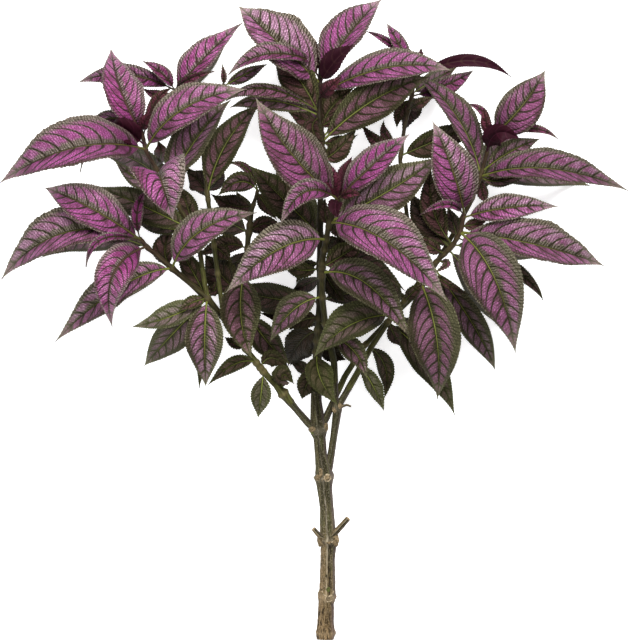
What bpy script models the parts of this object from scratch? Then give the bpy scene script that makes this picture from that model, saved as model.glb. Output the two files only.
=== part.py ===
"""A cut, branched stem of Persian shield, lying on its back on a surface.

Metres, +Z up. The plan below is in millimetres on a drawing sheet 630 mm wide
and 640 mm long that lies over the plant: x runs to the right, y runs down to
the cut end, and heights are above the surface. The model's origin is on the
surface, under the middle of its box.
"""

import math

import bmesh
import bpy
import numpy as np

MM = 0.001
# The place on the drawing sheet that lies over the model's origin.
SHEET_ORIGIN = (314.4, 319.6)

# Stems and blades; the halves of a blade rise from its midrib by the fold angle, and its
# width falls off to both ends as powers of the way along it.
SEAT_GAP = 0.3
STEM_SIDES_RESOLUTION = 1
TRUNK_SIDES_RESOLUTION = 3
BLADE_THICKNESS = 0.8
PETIOLE_LENGTH = 8.0
PETIOLE_SHARES = (0.05, 0.1)
PETIOLE_HALF_WIDTH = 1.5
TIP_HALF_WIDTH = 0.7
RIPPLE_SHARE = 0.04
BASE_SHAPE = (2.2, 0.9)
TIP_SHAPE = (1.7, 1.4)
USUAL_PEAK = 0.43
USUAL_FOLD = 18
TOOTH_OUT = 1.07
TOOTH_IN = 0.91

# The share of a stem's last step, at its very end, where no blade starts.
END_MARGIN = 0.04
# A blade's upper face is never lower than this, so its lower face stays on the surface.
FLOOR_HEIGHT = BLADE_THICKNESS
FLAT_SNAP = 0.3

# Clearing: the sheet is looked at in small squares, and blades are bent until each lies
# over or under its neighbours in every square that they share. Blades of one shoot may
# meet near their roots, since they are fused there.
CELL = 5.0
CLEAR_GAP = 3.2
ROOT_SHARE = 0.2
CLEAR_ROUNDS = 500
CLEAR_PACE = 0.9
CLEAR_STIFFNESS = 0.02
CELL_OFFSET = 200
CELL_ROW = 1000

# Each stem path has x, y, height and radius. The joint is the step of the path
# at whose middle the parent's stub ends and the shoot's own stem begins.
CENTRE_PATH = [
    (325.4, 640, 9.4, 8.6), (325.6, 633, 9.9, 9.8), (325.6, 624, 13, 8.5), (326.3, 603, 19, 7.9),
    (327, 597, 21, 9.4), (327.5, 589, 23, 8.2), (327.8, 560, 32, 7.4), (328.5, 546, 36, 8.0),
    (328.5, 539, 38, 10.4), (327.8, 531, 41, 8.1), (326.8, 508, 48, 7.0), (324.6, 488, 54, 7.7),
    (324.2, 477, 58, 9.6), (323.4, 468, 61, 8.2), (321, 455, 65, 6.2), (319.6, 438, 70, 6.2),
    (318.4, 429, 73, 9.6), (317.6, 420, 75, 7.4), (316.2, 402, 80, 5.6), (316.5, 375, 88, 4.8),
    (318, 340, 98, 3.9), (320, 300, 110, 3.2), (320, 262, 118, 3.0), (320.5, 200, 118, 2.8),
    (322, 140, 112, 2.6), (319, 115, 110, 2.5), (320, 85, 107, 2.0), (320, 60, 104, 1.4),
]
FRONT_PATH = [
    (324, 478, 58, 6.0), (328, 468, 61, 5.0), (331, 455, 65, 3.8), (334, 435, 72, 3.6),
    (337, 413, 79, 4.4), (337, 407, 81, 5.6), (335, 398, 84, 3.6), (334, 362, 100, 3.2),
    (325, 322, 121, 2.9), (322, 296, 132, 3.0), (322, 262, 148, 3.0), (329, 225, 172, 2.6),
    (338, 199, 186, 2.2),
]
RIGHT_LOWER_PATH = [
    (337, 408, 81, 3.8), (343, 398, 84, 3.4), (355, 377, 92, 3.1), (370, 349, 104, 2.7),
    (388, 322, 114, 2.4), (405, 300, 122, 2.4), (430, 268, 135, 2.3), (452, 246, 145, 2.2),
    (460, 232, 150, 2.1), (464, 214, 153, 1.5),
]
RIGHT_UPPER_PATH = [
    (319, 428, 73, 5.0), (326, 418, 75, 3.8), (332, 404, 77, 3.2), (345, 376, 80, 2.8),
    (365, 345, 86, 2.5), (388, 321, 92, 2.4), (420, 290, 98, 2.3), (448, 243, 102, 2.3),
    (470, 203, 106, 2.2), (480, 178, 110, 2.1), (487, 152, 111, 1.9), (492, 133, 112, 1.3),
]
RIGHT_BACK_PATH = [
    (420, 290, 98, 2.2), (417, 276, 95, 2.1), (408, 225, 84, 2.0), (400, 160, 76, 1.9),
    (404, 130, 73, 1.8), (412, 95, 68, 1.7), (417, 62, 64, 1.2),
]
LEFT_LOWER_PATH = [
    (317, 428, 73, 5.5), (309, 424, 76, 3.8), (296, 409, 82, 3.4), (283, 393, 88, 4.6),
    (276, 385, 91, 3.0), (263, 371, 97, 3.0), (245, 348, 105, 2.8), (225, 320, 114, 2.8),
    (208, 299, 122, 3.4), (190, 283, 127, 2.6), (173, 269, 132, 2.8), (158, 256, 136, 2.2),
    (148, 248, 139, 2.2), (140, 238, 142, 1.5),
]
LEFT_UPPER_PATH = [
    (208, 299, 122, 2.6), (205, 285, 124, 2.4), (200, 250, 128, 2.3), (190, 225, 131, 2.2),
    (178, 205, 134, 2.2), (160, 175, 140, 2.0), (147, 153, 144, 2.0), (142, 131, 147, 1.4),
]
LEFT_BACK_PATH = [
    (225, 320, 114, 2.4), (222, 305, 112, 2.2), (214, 245, 104, 2.2), (207, 190, 100, 2.0),
    (204, 156, 98, 2.4), (212, 120, 95, 1.8), (224, 84, 92, 1.3),
]
LEFT_BACK_FORK = [(204, 156, 98, 2.0), (192, 122, 91, 1.7), (174, 89, 86, 1.3)]
LEFT_INNER_PATH = [
    (245, 348, 105, 2.4), (244, 334, 103, 2.2), (242, 300, 100, 2.2), (247, 250, 98, 2.2),
    (249, 232, 97, 3.0), (252, 210, 96, 2.0), (258, 190, 95, 1.4),
]
# Two pruned twigs at the trunk's third ring, and a withered one at the right limb's ring.
TRUNK_STUBS = [
    [(329, 539, 40, 2.8), (337, 531, 48, 2.5), (348, 518.5, 54, 2.2)],
    [(328, 540, 40, 2.5), (320, 536.5, 46, 2.1), (313.5, 529, 50, 1.8)],
    [(337, 408, 82, 2.2), (343, 406, 85, 1.4), (347, 404.5, 87, 1.2), (351, 406.5, 86, 0.9)],
]

# Each leaf: base x y, middle x y height, tip x y height, the widths seen to the left
# and right of its midrib from the base, then, where it isn't as most are, where along
# it the blade is widest and its least fold in degrees. The base height is the stem's.
LEAVES = {
    "front_shoot": [
        ((338, 200), (292, 155, 215), (256, 99, 190), (23, 28)),
        ((339, 198), (372, 166, 205), (409, 135, 182), (17, 13), 0.46, 24),
        ((338, 200), (305, 193, 222), (280, 227, 204), (10, 12), 0.46, 28),
        ((338, 199), (350, 194, 203), (361, 197, 206), (5, 5), 0.46, 30),
        ((338, 200), (335, 208, 200), (338, 218, 202), (7, 7), 0.46, 34),
        ((338, 200), (332, 181, 200), (328, 162, 204), (7, 8), 0.46, 34),
        ((338, 199), (343, 178, 196), (352, 157, 190), (7, 7), 0.46, 30),
        ((330, 222), (384, 194, 176), (441, 156, 150), (22, 21), 0.5),
        ((330, 223), (388, 243, 208), (447, 302, 172), (31, 20)),
        ((326, 240), (278, 250, 196), (226, 293, 166), (22, 24)),
        ((322, 273), (368, 285, 160), (411, 340, 138), (20, 18)),
        ((322, 297), (293, 310, 138), (270, 342, 116), (13, 15)),
        ((322, 268), (343, 255, 152), (366, 240, 150), (12, 12)),
        ((332, 335), (353, 350, 120), (367, 379, 110), (11, 11)),
        ((322, 262), (362, 262, 138), (405, 291, 122), (13, 11)),
        ((324, 250), (336, 246, 142), (346, 228, 134), (7, 7)),
        ((338, 201), (337, 190, 186), (337, 176, 184), (7, 7)),
        ((329, 226), (325, 214, 174), (325, 198, 174), (6, 5)),
        ((330, 224), (335, 230, 168), (339, 240, 162), (5, 5)),
    ],
    "top_shoot": [
        ((320, 85), (277, 42, 122), (238, 6, 92), (18, 31)),
        ((320, 80), (349, 35, 116), (382, -1, 84), (24, 12)),
        ((320, 80), (303, 50, 98), (289, 27, 80), (9, 15), 0.46, 28),
        ((320, 66), (270, 55, 142), (228, 76, 122), (6, 12), 0.5, 32),
        ((320, 85), (335, 62, 124), (353, 46, 120), (12, 8), 0.46, 34),
        ((320, 95), (388, 68, 134), (451, 71, 106), (18, 13), 0.5),
        ((319, 116), (297, 77, 104), (270, 53, 84), (18, 16)),
        ((322, 142), (373, 101, 108), (430, 77, 84), (20, 20), 0.5),
        ((319, 112), (266, 89, 134), (226, 102, 114), (9, 5), 0.5, 34),
        ((319, 116), (271, 101, 120), (230, 108, 100), (10, 7), 0.5, 30),
        ((319, 118), (313, 132, 124), (330, 158, 128), (9, 9), 0.46, 28),
        ((322, 160), (338, 150, 122), (357, 127, 112), (9, 11)),
        ((318, 236), (284, 200, 150), (250, 166, 134), (17, 20)),
        ((317, 268), (300, 270, 112), (281, 262, 100), (8, 8)),
        ((315, 368), (307, 384, 96), (302, 399, 90), (10, 10)),
        ((316, 352), (320, 377, 98), (337, 404, 92), (14, 13)),
        ((316, 330), (300, 342, 88), (288, 366, 66), (14, 14)),
        ((316, 318), (334, 332, 84), (346, 358, 60), (12, 14)),
        ((316, 300), (270, 298, 66), (226, 285, 30), (15, 15)),
        ((316, 300), (365, 292, 62), (413, 300, 24), (15, 15)),
        ((318, 240), (298, 200, 72), (272, 150, 26), (16, 16)),
        ((319, 220), (355, 205, 66), (400, 182, 24), (16, 16)),
        ((322, 135), (304, 82, 66), (262, 28, -40), (12, 12)),
        ((322, 138), (370, 102, 60), (420, 84, -30), (15, 15)),
        ((317, 262), (306, 268, 108), (296, 284, 100), (7, 7)),
        ((317, 262), (332, 286, 104), (345, 302, 98), (9, 9)),
        ((318, 240), (333, 246, 106), (350, 266, 98), (9, 9)),
        ((316, 330), (304, 345, 82), (290, 366, 74), (12, 12)),
        ((316, 340), (330, 352, 84), (346, 360, 78), (9, 9)),
        ((321, 128), (333, 106, 96), (354, 88, 84), (13, 9)),
        ((318, 318), (304, 320, 100), (289, 330, 94), (9, 9)),
    ],
    "right_back_shoot": [
        ((416, 72), (398, 43, 76), (387, 23, 62), (6, 8)),
        ((416, 66), (388, 42, 66), (365, 31, 52), (4, 4)),
        ((417, 63), (420, 56, 70), (421, 48, 74), (4, 4)),
        ((415, 78), (468, 61, 84), (512, 78, 68), (7, 6), 0.46, 30),
        ((412, 96), (446, 85, 74), (474, 70, 60), (8, 11)),
        ((410, 96), (411, 108, 56), (402, 133, 42), (11, 10)),
        ((411, 98), (400, 112, 60), (397, 128, 54), (6, 6)),
        ((401, 152), (378, 142, 70), (361, 123, 66), (7, 6)),
        ((401, 150), (386, 136, 68), (384, 120, 62), (5, 5)),
        ((401, 156), (438, 140, 74), (484, 122, 52), (12, 15)),
        ((412, 95), (434, 80, 34), (458, 66, -40), (9, 9)),
    ],
    "right_upper_shoot": [
        ((491, 138), (521, 107, 132), (545, 70, 104), (20, 21)),
        ((492, 133), (482, 112, 126), (466, 105, 122), (4, 4)),
        ((489, 154), (497, 134, 138), (520, 140, 136), (10, 12), 0.42, 24),
        ((491, 138), (530, 129, 120), (558, 140, 116), (5, 4), 0.46, 34),
        ((480, 176), (456, 116, 100), (413, 74, 72), (9, 17)),
        ((482, 172), (510, 152, 116), (540, 139, 96), (11, 11)),
        ((480, 178), (548, 169, 128), (629, 191, 76), (20, 11), 0.5),
        ((480, 178), (502, 181, 100), (536, 168, 84), (9, 6)),
        ((480, 178), (482, 192, 100), (487, 204, 94), (6, 6)),
        ((388, 321), (428, 361, 84), (455, 416, 58), (15, 16)),
        ((356, 359), (373, 386, 76), (384, 411, 68), (9, 7)),
        ((365, 345), (385, 367, 66), (384, 399, 52), (9, 8)),
        ((480, 178), (532, 176, 62), (594, 186, -34), (12, 10)),
        ((472, 198), (494, 156, 60), (528, 104, -30), (14, 14)),
        ((395, 314), (424, 345, 48), (442, 384, -30), (14, 14)),
    ],
    "right_lower_shoot": [
        ((463, 214), (452, 171, 184), (432, 122, 164), (21, 23), 0.42),
        ((463, 216), (446, 205, 190), (419, 216, 184), (4, 5), 0.46, 42),
        ((463, 218), (508, 208, 168), (558, 207, 140), (14, 12), 0.42),
        ((460, 232), (535, 245, 164), (604, 266, 112), (25, 14), 0.5),
        ((460, 233), (494, 279, 186), (515, 354, 142), (27, 28), 0.43),
        ((457, 238), (515, 270, 132), (543, 301, 106), (7, 6), 0.46, 30),
        ((436, 262), (446, 264, 152), (432, 274, 156), (4, 4)),
        ((420, 281), (436, 337, 152), (437, 399, 106), (24, 27)),
        ((432, 266), (473, 325, 112), (495, 370, 80), (13, 14)),
        ((428, 270), (450, 286, 142), (470, 295, 134), (4, 4)),
        ((450, 248), (426, 222, 128), (411, 192, 108), (13, 15)),
        ((452, 246), (432, 208, 146), (431, 168, 138), (12, 12)),
        ((444, 254), (430, 246, 152), (418, 236, 148), (7, 7)),
        ((405, 300), (413, 292, 134), (426, 281, 134), (6, 6)),
        ((393, 315), (350, 325, 136), (314, 357, 120), (14, 21)),
        ((388, 322), (394, 335, 106), (401, 346, 96), (7, 7)),
        ((452, 246), (505, 248, 82), (568, 254, 6), (14, 12)),
        ((448, 250), (482, 290, 70), (509, 336, -34), (15, 15)),
        ((452, 246), (440, 238, 128), (428, 226, 124), (7, 7)),
        ((457, 238), (453, 224, 134), (447, 206, 126), (8, 7)),
        ((461, 226), (473, 225, 150), (488, 219, 146), (6, 6)),
    ],
    "left_lower_shoot": [
        ((142, 242), (93, 209, 166), (45, 188, 128), (18, 22), 0.5),
        ((141, 238), (138, 212, 168), (147, 190, 158), (6, 6), 0.46, 28),
        ((142, 242), (66, 233, 168), (1, 280, 92), (15, 26), 0.48),
        ((142, 242), (103, 240, 190), (87, 268, 168), (4, 5), 0.46, 40),
        ((147, 247), (114, 275, 196), (113, 327, 142), (18, 18), 0.42),
        ((173, 269), (119, 288, 138), (55, 342, 72), (14, 19), 0.55),
        ((173, 269), (203, 230, 170), (258, 213, 150), (19, 15)),
        ((173, 268), (165, 250, 122), (173, 228, 112), (12, 12)),
        ((208, 299), (192, 270, 116), (176, 243, 104), (10, 10)),
        ((208, 299), (205, 340, 128), (206, 387, 88), (18, 19), 0.44),
        ((208, 299), (172, 316, 118), (132, 327, 84), (10, 13)),
        ((208, 299), (172, 335, 104), (144, 366, 58), (17, 15)),
        ((208, 299), (192, 303, 134), (179, 311, 130), (6, 7)),
        ((208, 299), (203, 345, 86), (199, 389, 56), (7, 8)),
        ((256, 363), (235, 364, 108), (208, 385, 92), (7, 8), 0.46, 30),
        ((263, 371), (261, 395, 88), (258, 418, 76), (10, 10)),
        ((283, 393), (283, 375, 98), (294, 384, 100), (10, 9), 0.46, 32),
        ((245, 348), (234, 343, 112), (225, 337, 110), (5, 5)),
        ((148, 248), (98, 238, 74), (40, 258, -34), (13, 13)),
        ((173, 269), (126, 286, 66), (80, 318, -30), (11, 11)),
        ((260, 368), (272, 358, 100), (290, 370, 96), (8, 9)),
    ],
    "left_upper_shoot": [
        ((146, 150), (75, 149, 178), (0, 184, 96), (16, 30), 0.47),
        ((142, 135), (122, 92, 168), (111, 48, 124), (16, 21)),
        ((143, 140), (105, 121, 152), (80, 174, 104), (10, 8), 0.4, 28),
        ((145, 146), (126, 130, 170), (114, 124, 164), (11, 11), 0.46, 38),
        ((142, 133), (146, 122, 162), (153, 114, 164), (6, 6), 0.46, 36),
        ((147, 150), (185, 109, 172), (247, 90, 138), (21, 16), 0.5),
        ((160, 174), (163, 184, 190), (174, 221, 165), (29, 26), 0.26, 30),
        ((170, 190), (194, 143, 124), (231, 100, 100), (22, 13)),
        ((166, 184), (140, 181, 118), (114, 159, 96), (8, 10)),
        ((192, 230), (145, 207, 120), (95, 186, 84), (15, 17)),
        ((192, 230), (158, 227, 112), (133, 216, 94), (7, 7)),
        ((196, 240), (188, 208, 110), (178, 185, 100), (10, 10)),
        ((178, 205), (142, 164, 76), (90, 150, -34), (14, 14)),
    ],
    "left_back_shoot": [
        ((175, 90), (125, 75, 92), (77, 83, 62), (11, 11), 0.46, 24),
        ((174, 89), (162, 74, 96), (142, 61, 88), (5, 8), 0.46, 28),
        ((176, 94), (157, 95, 84), (143, 88, 78), (5, 5)),
        ((177, 92), (203, 60, 100), (243, 22, 70), (18, 9)),
        ((175, 90), (190, 79, 108), (215, 72, 104), (4, 5), 0.46, 40),
        ((223, 86), (224, 76, 96), (222, 64, 96), (3, 3)),
        ((223, 87), (245, 75, 94), (268, 64, 80), (6, 7)),
        ((208, 195), (226, 144, 100), (262, 102, 82), (17, 14)),
        ((207, 195), (200, 182, 84), (186, 172, 72), (12, 11)),
        ((207, 192), (216, 182, 80), (224, 167, 68), (8, 8)),
        ((178, 96), (200, 70, 44), (228, 40, -40), (11, 9)),
        ((214, 245), (222, 252, 96), (232, 262, 92), (8, 8)),
    ],
    "left_inner_shoot": [
        ((258, 190), (240, 182, 108), (218, 196, 98), (10, 10), 0.46, 28),
        ((258, 190), (246, 168, 104), (227, 164, 100), (4, 4)),
        ((254, 205), (234, 206, 84), (211, 194, 74), (11, 11)),
        ((249, 232), (264, 224, 92), (284, 228, 84), (8, 8)),
        ((247, 250), (226, 245, 88), (196, 257, 76), (9, 10)),
        ((245, 268), (241, 315, 112), (252, 358, 116), (20, 20)),
        ((242, 305), (266, 340, 92), (290, 364, 84), (13, 14)),
        ((242, 296), (222, 276, 84), (205, 254, 68), (16, 16)),
        ((249, 232), (228, 222, 62), (200, 208, 24), (14, 14)),
        ((247, 250), (238, 262, 88), (226, 270, 80), (8, 8)),
        ((249, 232), (262, 226, 84), (272, 216, 80), (8, 8)),
        ((258, 192), (265, 204, 88), (277, 220, 82), (7, 7)),
    ],
}

STEM_PATHS = {
    "front_shoot": [FRONT_PATH],
    "top_shoot": [CENTRE_PATH],
    "right_back_shoot": [RIGHT_BACK_PATH],
    "right_upper_shoot": [RIGHT_UPPER_PATH],
    "right_lower_shoot": [RIGHT_LOWER_PATH],
    "left_lower_shoot": [LEFT_LOWER_PATH],
    "left_upper_shoot": [LEFT_UPPER_PATH],
    "left_back_shoot": [LEFT_BACK_PATH, LEFT_BACK_FORK],
    "left_inner_shoot": [LEFT_INNER_PATH],
}
# The step of each first path at which the shoot leaves its parent, and the parent.
JOINTS = {
    "front_shoot": (6, "main_stem"),
    "top_shoot": (18, "main_stem"),
    "right_upper_shoot": (2, "main_stem"),
    "right_lower_shoot": (1, "main_stem"),
    "left_lower_shoot": (2, "main_stem"),
    "right_back_shoot": (1, "right_upper_shoot"),
    "left_upper_shoot": (1, "left_lower_shoot"),
    "left_back_shoot": (1, "left_lower_shoot"),
    "left_inner_shoot": (1, "left_lower_shoot"),
}

# Colour, roughness of each sub-part's own material
BARK = ((0.42, 0.31, 0.20), 0.75)
SHOOT_COLOURS = {
    "front_shoot": (0.50, 0.16, 0.38),
    "top_shoot": (0.42, 0.16, 0.34),
    "right_back_shoot": (0.30, 0.13, 0.22),
    "right_upper_shoot": (0.44, 0.20, 0.36),
    "right_lower_shoot": (0.48, 0.22, 0.40),
    "left_lower_shoot": (0.52, 0.20, 0.40),
    "left_upper_shoot": (0.50, 0.18, 0.40),
    "left_back_shoot": (0.34, 0.13, 0.26),
    "left_inner_shoot": (0.24, 0.16, 0.18),
}
LEAF_ROUGHNESS = 0.45


def stem_halves(path, step):
    """A path parted at the middle of one step: the parent's stub and the shoot's own stem."""
    before, after = np.array(path[step], float), np.array(path[step + 1], float)
    along = (after - before) / np.linalg.norm((after - before)[:3])
    middle = (before + after) / 2
    stub = [*path[: step + 1], tuple(middle - along * SEAT_GAP / 2)]
    own = [tuple(middle + along * SEAT_GAP / 2), *path[step + 1 :]]
    return stub, own


def own_paths(shoot):
    """The stem paths that belong to one shoot, from its joint outwards."""
    first, *others = STEM_PATHS[shoot]
    return [stem_halves(first, JOINTS[shoot][0])[1], *others]


def stubs_on(parent):
    """The short stems that a parent carries for the shoots that leave it."""
    return [
        stem_halves(STEM_PATHS[shoot][0], step)[0]
        for shoot, (step, carrier) in JOINTS.items()
        if carrier == parent
    ]


def nearest_on_stem(paths, x, y):
    """The point of a stem's axis that lies nearest a place on the sheet."""
    best = None
    for path in paths:
        for start, end in zip(path[:-1], path[1:]):
            a, b = np.array(start[:3], float), np.array(end[:3], float)
            run = (b - a)[:2]
            share = np.dot([x - a[0], y - a[1]], run) / (run @ run)
            share = np.clip(share, END_MARGIN, 1 - END_MARGIN)
            point = a + (b - a) * share
            away = math.hypot(point[0] - x, point[1] - y)
            if best is None or away < best[0]:
                best = (away, point)
    return best[1]


class Leaf:
    """One blade: a curved midrib with a folded, waved half on each side of it."""

    def __init__(self, shoot, number, base, middle, tip, halves, peak=USUAL_PEAK, fold=USUAL_FOLD):
        self.shoot = shoot
        self.base = nearest_on_stem(own_paths(shoot), *base)
        self.tip = np.array(tip, float)
        middle = np.array(middle, float)
        self.control = 2 * middle - (self.base + self.tip) / 2
        left, right = halves
        uneven = (right - left) / (right + left)
        self.fold = max(math.radians(fold), math.atan(math.sqrt(abs(uneven))))
        self.roll = math.atan(uneven / math.tan(self.fold))
        self.half_width = right / math.cos(self.fold - self.roll)
        self.length = np.linalg.norm(middle - self.base) + np.linalg.norm(self.tip - middle)
        self.petiole = float(np.clip(PETIOLE_LENGTH / self.length, *PETIOLE_SHARES))
        self.peak = peak
        self.wave = RIPPLE_SHARE * (left + right)
        self.wave_count = 2.2 + 0.5 * (number % 4)
        self.wave_phase = 2.4 * number
        self.bend = np.zeros(2)

    def midrib(self, t):
        """Points of the midrib, and its direction there."""
        t = t[..., None]
        line = (1 - t) ** 2 * self.base + 2 * t * (1 - t) * self.control + t**2 * self.tip
        slope = 2 * (1 - t) * (self.control - self.base) + 2 * t * (self.tip - self.control)
        line[..., 2] += self.bend[0] * t[..., 0] + self.bend[1] * t[..., 0] ** 2
        slope[..., 2] += self.bend[0] + 2 * self.bend[1] * t[..., 0]
        return line, slope / np.linalg.norm(slope, axis=-1, keepdims=True)

    def width_at(self, t):
        """Half the blade's width: round at the base, widest at its peak, drawn out to the tip."""
        s = np.clip((t - self.petiole) / (1 - self.petiole), 0, 1)
        to_base = np.clip((self.peak - s) / self.peak, 0, 1)
        to_tip = np.clip((s - self.peak) / (1 - self.peak), 0, 1)
        shape = (1 - to_base ** BASE_SHAPE[0]) ** BASE_SHAPE[1]
        shape = shape * (1 - to_tip ** TIP_SHAPE[0]) ** TIP_SHAPE[1]
        floor = np.where(t < 0.5, PETIOLE_HALF_WIDTH, TIP_HALF_WIDTH)
        return np.maximum(self.half_width * shape, floor)

    def surface(self, t, u):
        """Points of the blade's upper face; t runs to the tip, u from -1 to 1 across."""
        line, along = self.midrib(t)
        # The sheet's y runs down, so this points to the left as seen from the base.
        side = np.stack([along[..., 1], -along[..., 0], np.zeros_like(t)], axis=-1)
        side /= np.linalg.norm(side, axis=-1, keepdims=True)
        up = np.cross(side, along)
        up *= np.sign(up[..., 2:3])
        lean = self.roll * np.clip(t / 0.25, 0, 1)
        left = side * np.cos(lean)[..., None] + up * np.sin(lean)[..., None]
        top = up * np.cos(lean)[..., None] - side * np.sin(lean)[..., None]
        half = self.width_at(t)
        ripple = self.wave * u**2 * np.sin(2 * math.pi * self.wave_count * t + self.wave_phase)
        ripple *= np.clip(half / self.half_width, 0, 1)
        out = u * half * math.cos(self.fold)
        lift = np.abs(u) * half * math.sin(self.fold) + ripple
        points = line + left * out[..., None] + top * lift[..., None]
        points[..., 2] = np.maximum(points[..., 2], FLOOR_HEIGHT)
        return points


def cell_key(x, y):
    """One number for each square of the sheet."""
    column, row = np.round(np.divide(x, CELL)).astype(int), np.round(np.divide(y, CELL)).astype(int)
    return (column + CELL_OFFSET) * CELL_ROW + row + CELL_OFFSET


def leaf_cells(leaf):
    """The squares of the sheet that a blade covers, with its lowest, highest and mean t there."""
    t, u = np.meshgrid(np.linspace(0, 1, 48), np.linspace(-1, 1, 13), indexing="ij")
    points = leaf.surface(t, u).reshape(-1, 3)
    cells, place = np.unique(cell_key(points[:, 0], points[:, 1]), return_inverse=True)
    place = place.reshape(-1)
    low = np.full(len(cells), np.inf)
    high = np.full(len(cells), -np.inf)
    np.minimum.at(low, place, points[:, 2])
    np.maximum.at(high, place, points[:, 2])
    share = np.bincount(place, weights=t.reshape(-1)) / np.bincount(place)
    return cells, low, high, share


def stem_cells(paths):
    """The same for stems, which stay where they are."""
    found = {}
    for path in paths:
        for start, end in zip(path[:-1], path[1:]):
            a, b = np.array(start, float), np.array(end, float)
            for share in np.linspace(0, 1, 2 + int(np.linalg.norm((b - a)[:3]) / 2)):
                x, y, z, r = a + (b - a) * share
                for dx in (-r, 0, r):
                    for dy in (-r, 0, r):
                        key = int(cell_key(x + dx, y + dy))
                        low, high = found.get(key, (z - r, z + r))
                        found[key] = (min(low, z - r), max(high, z + r))
    cells = np.array(sorted(found))
    low = np.array([found[key][0] for key in cells])
    high = np.array([found[key][1] for key in cells])
    return cells, low, high, np.zeros(len(cells))


def clearances(leaves, stems):
    """Every place where two blades, or a blade and a stem, lie over one another."""
    owners, cells, lows, highs, shares = [], [], [], [], []
    entries = [leaf_cells(leaf) for leaf in leaves] + [stem_cells(paths) for paths in stems.values()]
    for owner, (cell, low, high, share) in enumerate(entries):
        owners.append(np.full(len(cell), owner))
        cells.append(cell)
        lows.append(low)
        highs.append(high)
        shares.append(share)
    owner, cell = np.concatenate(owners), np.concatenate(cells)
    low, high, share = np.concatenate(lows), np.concatenate(highs), np.concatenate(shares)
    order = np.argsort(cell, kind="stable")
    groups = np.split(order, np.flatnonzero(np.diff(cell[order])) + 1)
    pairs = [(i, j) for group in groups for n, i in enumerate(group) for j in group[n + 1 :]]
    first, second = np.array(pairs).T
    return owner, low, high, share, first, second


def bend_clear(leaves, stems):
    """Bends each blade up or down along its length until it clears what lies over and under it."""
    count = len(leaves)
    names = [leaf.shoot for leaf in leaves] + list(stems)
    owner, low, high, share, first, second = clearances(leaves, stems)
    a, b = owner[first], owner[second]
    kin = np.array([names[i] == names[j] for i, j in zip(a, b)])
    near_root = np.minimum(share[first], share[second]) < ROOT_SHARE
    keep = (a != b) & ((a < count) | (b < count)) & ~(kin & near_root)
    first, second, a, b = first[keep], second[keep], a[keep], b[keep]
    middle = (low + high) / 2
    # Of two that meet, the one that is higher on the whole stays over the other.
    place = np.unique(a * len(names) + b, return_inverse=True)[1].reshape(-1)
    ahead = np.bincount(place, weights=middle[first] - middle[second]) > 0
    over = np.where(ahead[place], first, second)
    under = np.where(ahead[place], second, first)
    free = owner < count
    bends = np.zeros((len(names), 2))
    weight = np.stack([share, share**2], axis=1) * free[:, None]
    for _ in range(CLEAR_ROUNDS):
        move = (weight * bends[owner]).sum(axis=1)
        short = CLEAR_GAP - ((low + move)[over] - (high + move)[under])
        bad = short > 0
        give = (weight[over[bad]] ** 2).sum(1) + (weight[under[bad]] ** 2).sum(1)
        pull = short[bad] / (give + CLEAR_STIFFNESS)
        sums, counts = np.zeros_like(bends), np.full(len(names), 1e-9)
        for cells, sign in ((over[bad], 1), (under[bad], -1)):
            np.add.at(sums, owner[cells], sign * pull[:, None] * weight[cells])
            np.add.at(counts, owner[cells], 1)
        sunk = free & (low + move < FLOOR_HEIGHT - 1) & (middle > FLOOR_HEIGHT + 1)
        lift = (FLOOR_HEIGHT - low - move)[sunk] / ((weight[sunk] ** 2).sum(1) + CLEAR_STIFFNESS)
        np.add.at(sums, owner[sunk], lift[:, None] * weight[sunk])
        np.add.at(counts, owner[sunk], 1)
        bends += CLEAR_PACE * sums / counts[:, None]
    for leaf, bend in zip(leaves, bends):
        leaf.bend = bend


def all_leaves():
    """Every blade of the plant, bent clear of the others."""
    leaves = []
    for shoot, rows in LEAVES.items():
        leaves += [Leaf(shoot, len(leaves) + n, *row) for n, row in enumerate(rows)]
    stems = {"main_stem": [*stubs_on("main_stem"), *TRUNK_STUBS]}
    stems |= {shoot: own_paths(shoot) + stubs_on(shoot) for shoot in LEAVES}
    bend_clear(leaves, stems)
    return leaves


def to_model(points):
    """From the drawing sheet, in millimetres, to the model, in metres."""
    points = np.asarray(points, float)
    x = points[..., 0] - SHEET_ORIGIN[0]
    y = SHEET_ORIGIN[1] - points[..., 1]
    return np.stack([x, y, points[..., 2]], axis=-1) * MM


def clear_scene():
    for obj in list(bpy.data.objects):
        bpy.data.objects.remove(obj, do_unlink=True)


def material(name, colour, roughness):
    made = bpy.data.materials.new(name)
    made.use_nodes = True
    shader = made.node_tree.nodes["Principled BSDF"]
    shader.inputs["Base Color"].default_value = (*colour, 1)
    shader.inputs["Roughness"].default_value = roughness
    return made


def stem_object(name, path, resolution):
    """A round stem with its own radius at each point, closed at both ends."""
    curve = bpy.data.curves.new(name, "CURVE")
    curve.dimensions = "3D"
    curve.bevel_depth = MM
    curve.bevel_resolution = resolution
    curve.use_fill_caps = True
    spline = curve.splines.new("POLY")
    spline.points.add(len(path) - 1)
    for point, (x, y, z, radius) in zip(spline.points, path):
        point.co = (*to_model((x, y, z)), 1)
        point.radius = radius
    drawn = bpy.data.objects.new(name, curve)
    bpy.context.scene.collection.objects.link(drawn)
    graph = bpy.context.evaluated_depsgraph_get()
    mesh = bpy.data.meshes.new_from_object(drawn.evaluated_get(graph))
    bpy.data.objects.remove(drawn)
    bm = bmesh.new()
    bm.from_mesh(mesh)
    bmesh.ops.remove_doubles(bm, verts=bm.verts, dist=1e-6)
    bmesh.ops.recalc_face_normals(bm, faces=bm.faces)
    bm.to_mesh(mesh)
    bm.free()
    return bpy.data.objects.new(name, mesh)


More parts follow.
